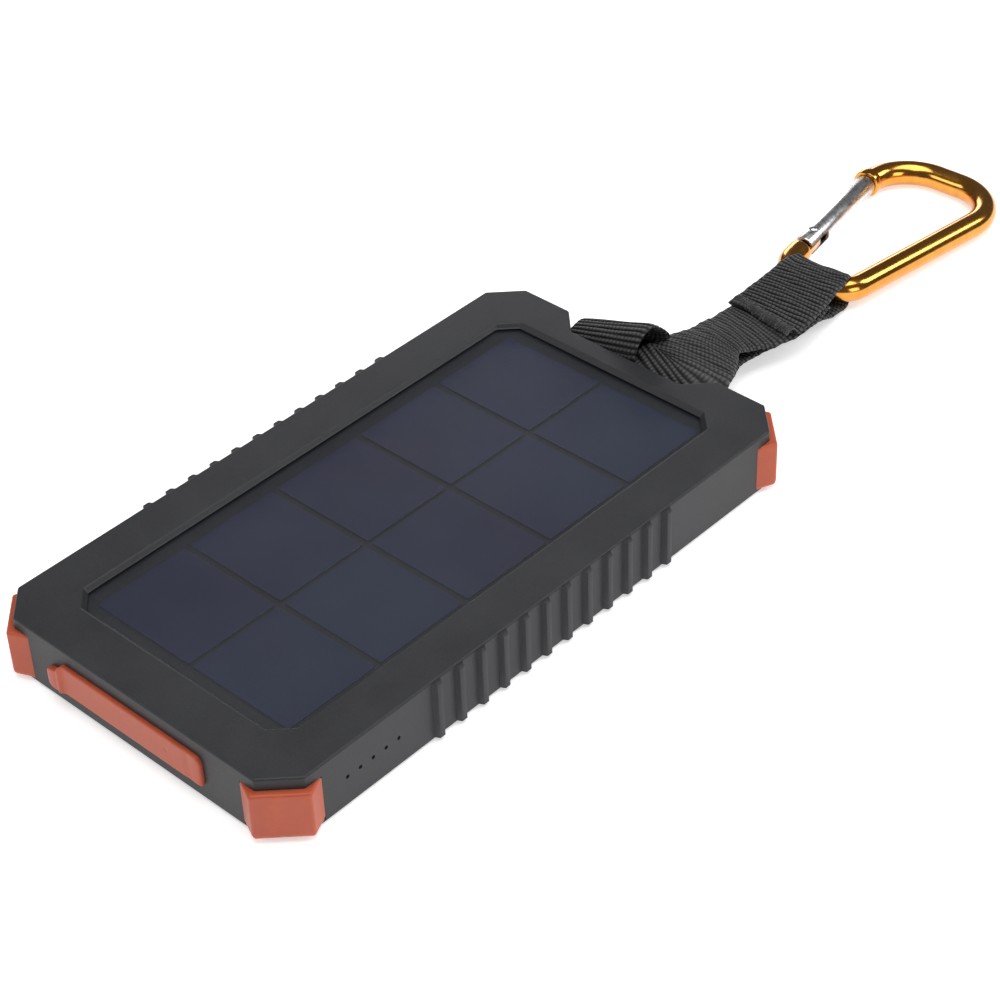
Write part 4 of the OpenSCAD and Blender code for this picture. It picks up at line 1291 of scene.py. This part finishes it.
def leg_point(s):
    return Vector((-LEG_U - math.sin(RING_A) * s, LEG_V + math.cos(RING_A) * s))


def bow_path():
    """Centreline points with (half width, half height, squareness) from the tongue to the latch."""
    points = []
    inward = Vector((math.cos(RING_A), math.sin(RING_A)))
    for s, shift, w, h, q in ((11.24, 0, 0.4, 0.6, 3), (11.1, 0, 0.8, 0.82, 4), (10.75, 0, 1.2, 0.9, 5),
                              (10.2, 0.05, 1.5, 0.9, 6), (9.5, 0.25, 1.75, 0.9, 7), (8.9, 0.4, 1.9, 0.9, 7),
                              (4.1, 0.4, 1.9, 0.9, 7), (3.84, 0.4, 1.92, 0.92, 6), (3.8, 0.3, 2.0, 1.1, 4),
                              (3.78, 0, 2.3, 2.1, 2.2), (3.66, 0, 2.52, 2.48, 2), (3.4, 0, 2.68, 2.66, 2),
                              (2.9, 0, 2.75, 2.75, 2)):
        points.append((leg_point(s) + inward * shift, w, h, q))
    for k in range(1, 4):
        points.append((leg_point(2.9 * (1 - k / 4)), ROD_R, ROD_R, 2))

    def arc(u, v, radius, a0, a1, steps):
        for k in range(steps + 1):
            a = math.radians(a0 + (a1 - a0) * k / steps)
            points.append((Vector((u + radius * math.cos(a), v + radius * math.sin(a))), ROD_R, ROD_R, 2))

    lean = math.degrees(RING_A)
    nose_turn = math.degrees(math.asin(2.7 / RING_T))
    arc(-RING_C, RING_B, RING_B, 180 + lean, 270, 22)
    points.append((Vector((0, 0)), ROD_R, ROD_R, 2))
    arc(RING_C, RING_B, RING_B, -90, -lean, 22)
    for k in range(1, 9):
        t = k / 9
        spot = Vector((LEG_U + math.sin(RING_A) * LEG_L * t, LEG_V + math.cos(RING_A) * LEG_L * t))
        points.append((spot, ROD_R, ROD_R, 2))
    arc(RING_C, RING_L - RING_T, RING_T, -lean, 90, 30)
    arc(-RING_C, RING_L - RING_T, RING_T, 90, 180 + lean - nose_turn, 28)
    for past, w, h, q in ((2.32, ROD_R, ROD_R, 2), (2.25, 2.86, 2.84, 2.1), (2.12, 3.0, 2.96, 2.3),
                          (0.25, 3.0, 2.96, 2.3), (0.1, 2.94, 2.88, 2.3), (0.02, 2.74, 2.7, 2.1),
                          (0.0, 2.4, 2.4, 2), (-0.01, 1.3, 0.85, 4), (-0.05, 1.2, 0.76, 6),
                          (-2.2, 1.2, 0.75, 6), (-2.36, 1.1, 0.66, 5), (-2.4, 0.7, 0.45, 3)):
        points.append((leg_point(NOSE_S + past), w, h, q))
    return points


def bow_mesh():
    points = bow_path()
    bm = bmesh.new()
    rings = []
    sides = 40
    tongue_rings = 13
    down_leg = (leg_point(0) - leg_point(1)).normalized()
    for i, (spot, wide, high, square) in enumerate(points):
        before = points[max(0, i - 1)][0]
        after = points[min(len(points) - 1, i + 1)][0]
        run = down_leg if i < tongue_rings else (after - before).normalized()
        out = Vector((run.y, -run.x))
        verts = []
        for k in range(sides):
            a = 2 * math.pi * (k + 0.5) / sides
            c, n = math.cos(a), math.sin(a)
            x = wide * math.copysign(abs(c) ** (2 / square), c)
            z = high * math.copysign(abs(n) ** (2 / square), n)
            verts.append(bm.verts.new((spot.x + out.x * x, spot.y + out.y * x, z)))
        rings.append(verts)
    capped(bm, rings)
    mesh = close_up(bm, "carabiner_bow")
    mesh.transform(at_eye)
    return mesh


bow = add_piece("carabiner_bow", bow_mesh(), gold_anodising(), 38)
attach(bow, "carabiner")
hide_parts("carabiner_frame")

# ---------------------------------------------------------------- gate
# A sleeve of plain aluminium tube, slotted at both ends, that swings inwards on a rivet against a wire
# spring; handling has left fine scratches along it.


def handled_aluminium():
    finish = Surface("handled_aluminium", (0.74, 0.75, 0.77), 0.26, 1.0)
    long_scratches = finish.noise(1, 4, 0.65, finish.stretched((3000, 160, 3000), (0, 0, -0.19)))
    cross_scratches = finish.noise(1, 3, 0.6, finish.stretched((500, 2600, 500), (0.3, 0.4, 0.5)))
    dirt = finish.noise(260, 4, 0.7)
    finish.coloured(finish.mixed(long_scratches, 0.6, dirt, 0.4),
                    (0.5, 0.51, 0.53), (0.86, 0.87, 0.89), (0.36, 0.6))
    finish.roughened(finish.mixed(cross_scratches, 0.5, dirt, 0.5), 0.18, 0.42)
    finish.bumped(long_scratches, 0.000006, 0.5)
    finish.bumped(cross_scratches, 0.000006, 0.3)
    return finish.material


aluminium = handled_aluminium()
GATE_LOW, GATE_HIGH = -4.85, NOSE_S - PIVOT_S - 0.25
sleeve_bm = bmesh.new()
half_profile = [(1.9, 0.1), (2.0, 0.0), (2.3, 0.0), (2.42, 0.06), (2.5, 0.24)]
profile = [(r, GATE_LOW + d) for r, d in half_profile] + [(r, GATE_HIGH - d) for r, d in half_profile[::-1]]
sleeve_rings = [[sleeve_bm.verts.new((r * math.cos(a), s, r * math.sin(a))) for a in
                 (2 * math.pi * k / 48 for k in range(48))] for r, s in profile]
skin(sleeve_bm, sleeve_rings + [sleeve_rings[0]])
sleeve = add_piece("gate_sleeve", close_up(sleeve_bm, "gate_sleeve"), aluminium, 38)
cut_bm = bmesh.new()
box_in(cut_bm, (-1.7, GATE_LOW - 1, -1.05), (6.3, 3.0, 1.05))
box_in(cut_bm, (-8, GATE_HIGH - 3.0, -0.95), (1.6, GATE_HIGH + 5, 0.95))
cut_away(sleeve, cut_bm, "gate_slots")
cut_bm = bmesh.new()
peg(cut_bm, (0, 0, -5), (0, 0, 5), 0.78, 24)
cut_away(sleeve, cut_bm, "rivet_hole")
sleeve.data.transform(at_gate @ Matrix.Translation((0, PIVOT_S, 0)))
sleeve.data.shade_smooth()
sleeve.data.set_sharp_from_angle(angle=math.radians(38))
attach(sleeve, "gate")
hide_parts("carabiner_gate")
rivet_bm = bmesh.new()
rivet_end = [(0, 2.8), (0.45, 2.78), (0.8, 2.68), (1.0, 2.5), (1.02, 2.36), (0.78, 2.3)]
turned(rivet_bm, [(r, -z) for r, z in rivet_end] + rivet_end[::-1], 28)
rivet_mesh = close_up(rivet_bm, "gate_pin")
rivet_mesh.transform(at_gate @ Matrix.Translation((0, PIVOT_S, 0)))
rivet = add_piece("gate_pin", rivet_mesh, aluminium)
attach(rivet, "gate")
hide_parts("gate_rivet")
dress("gate_spring", zinc)
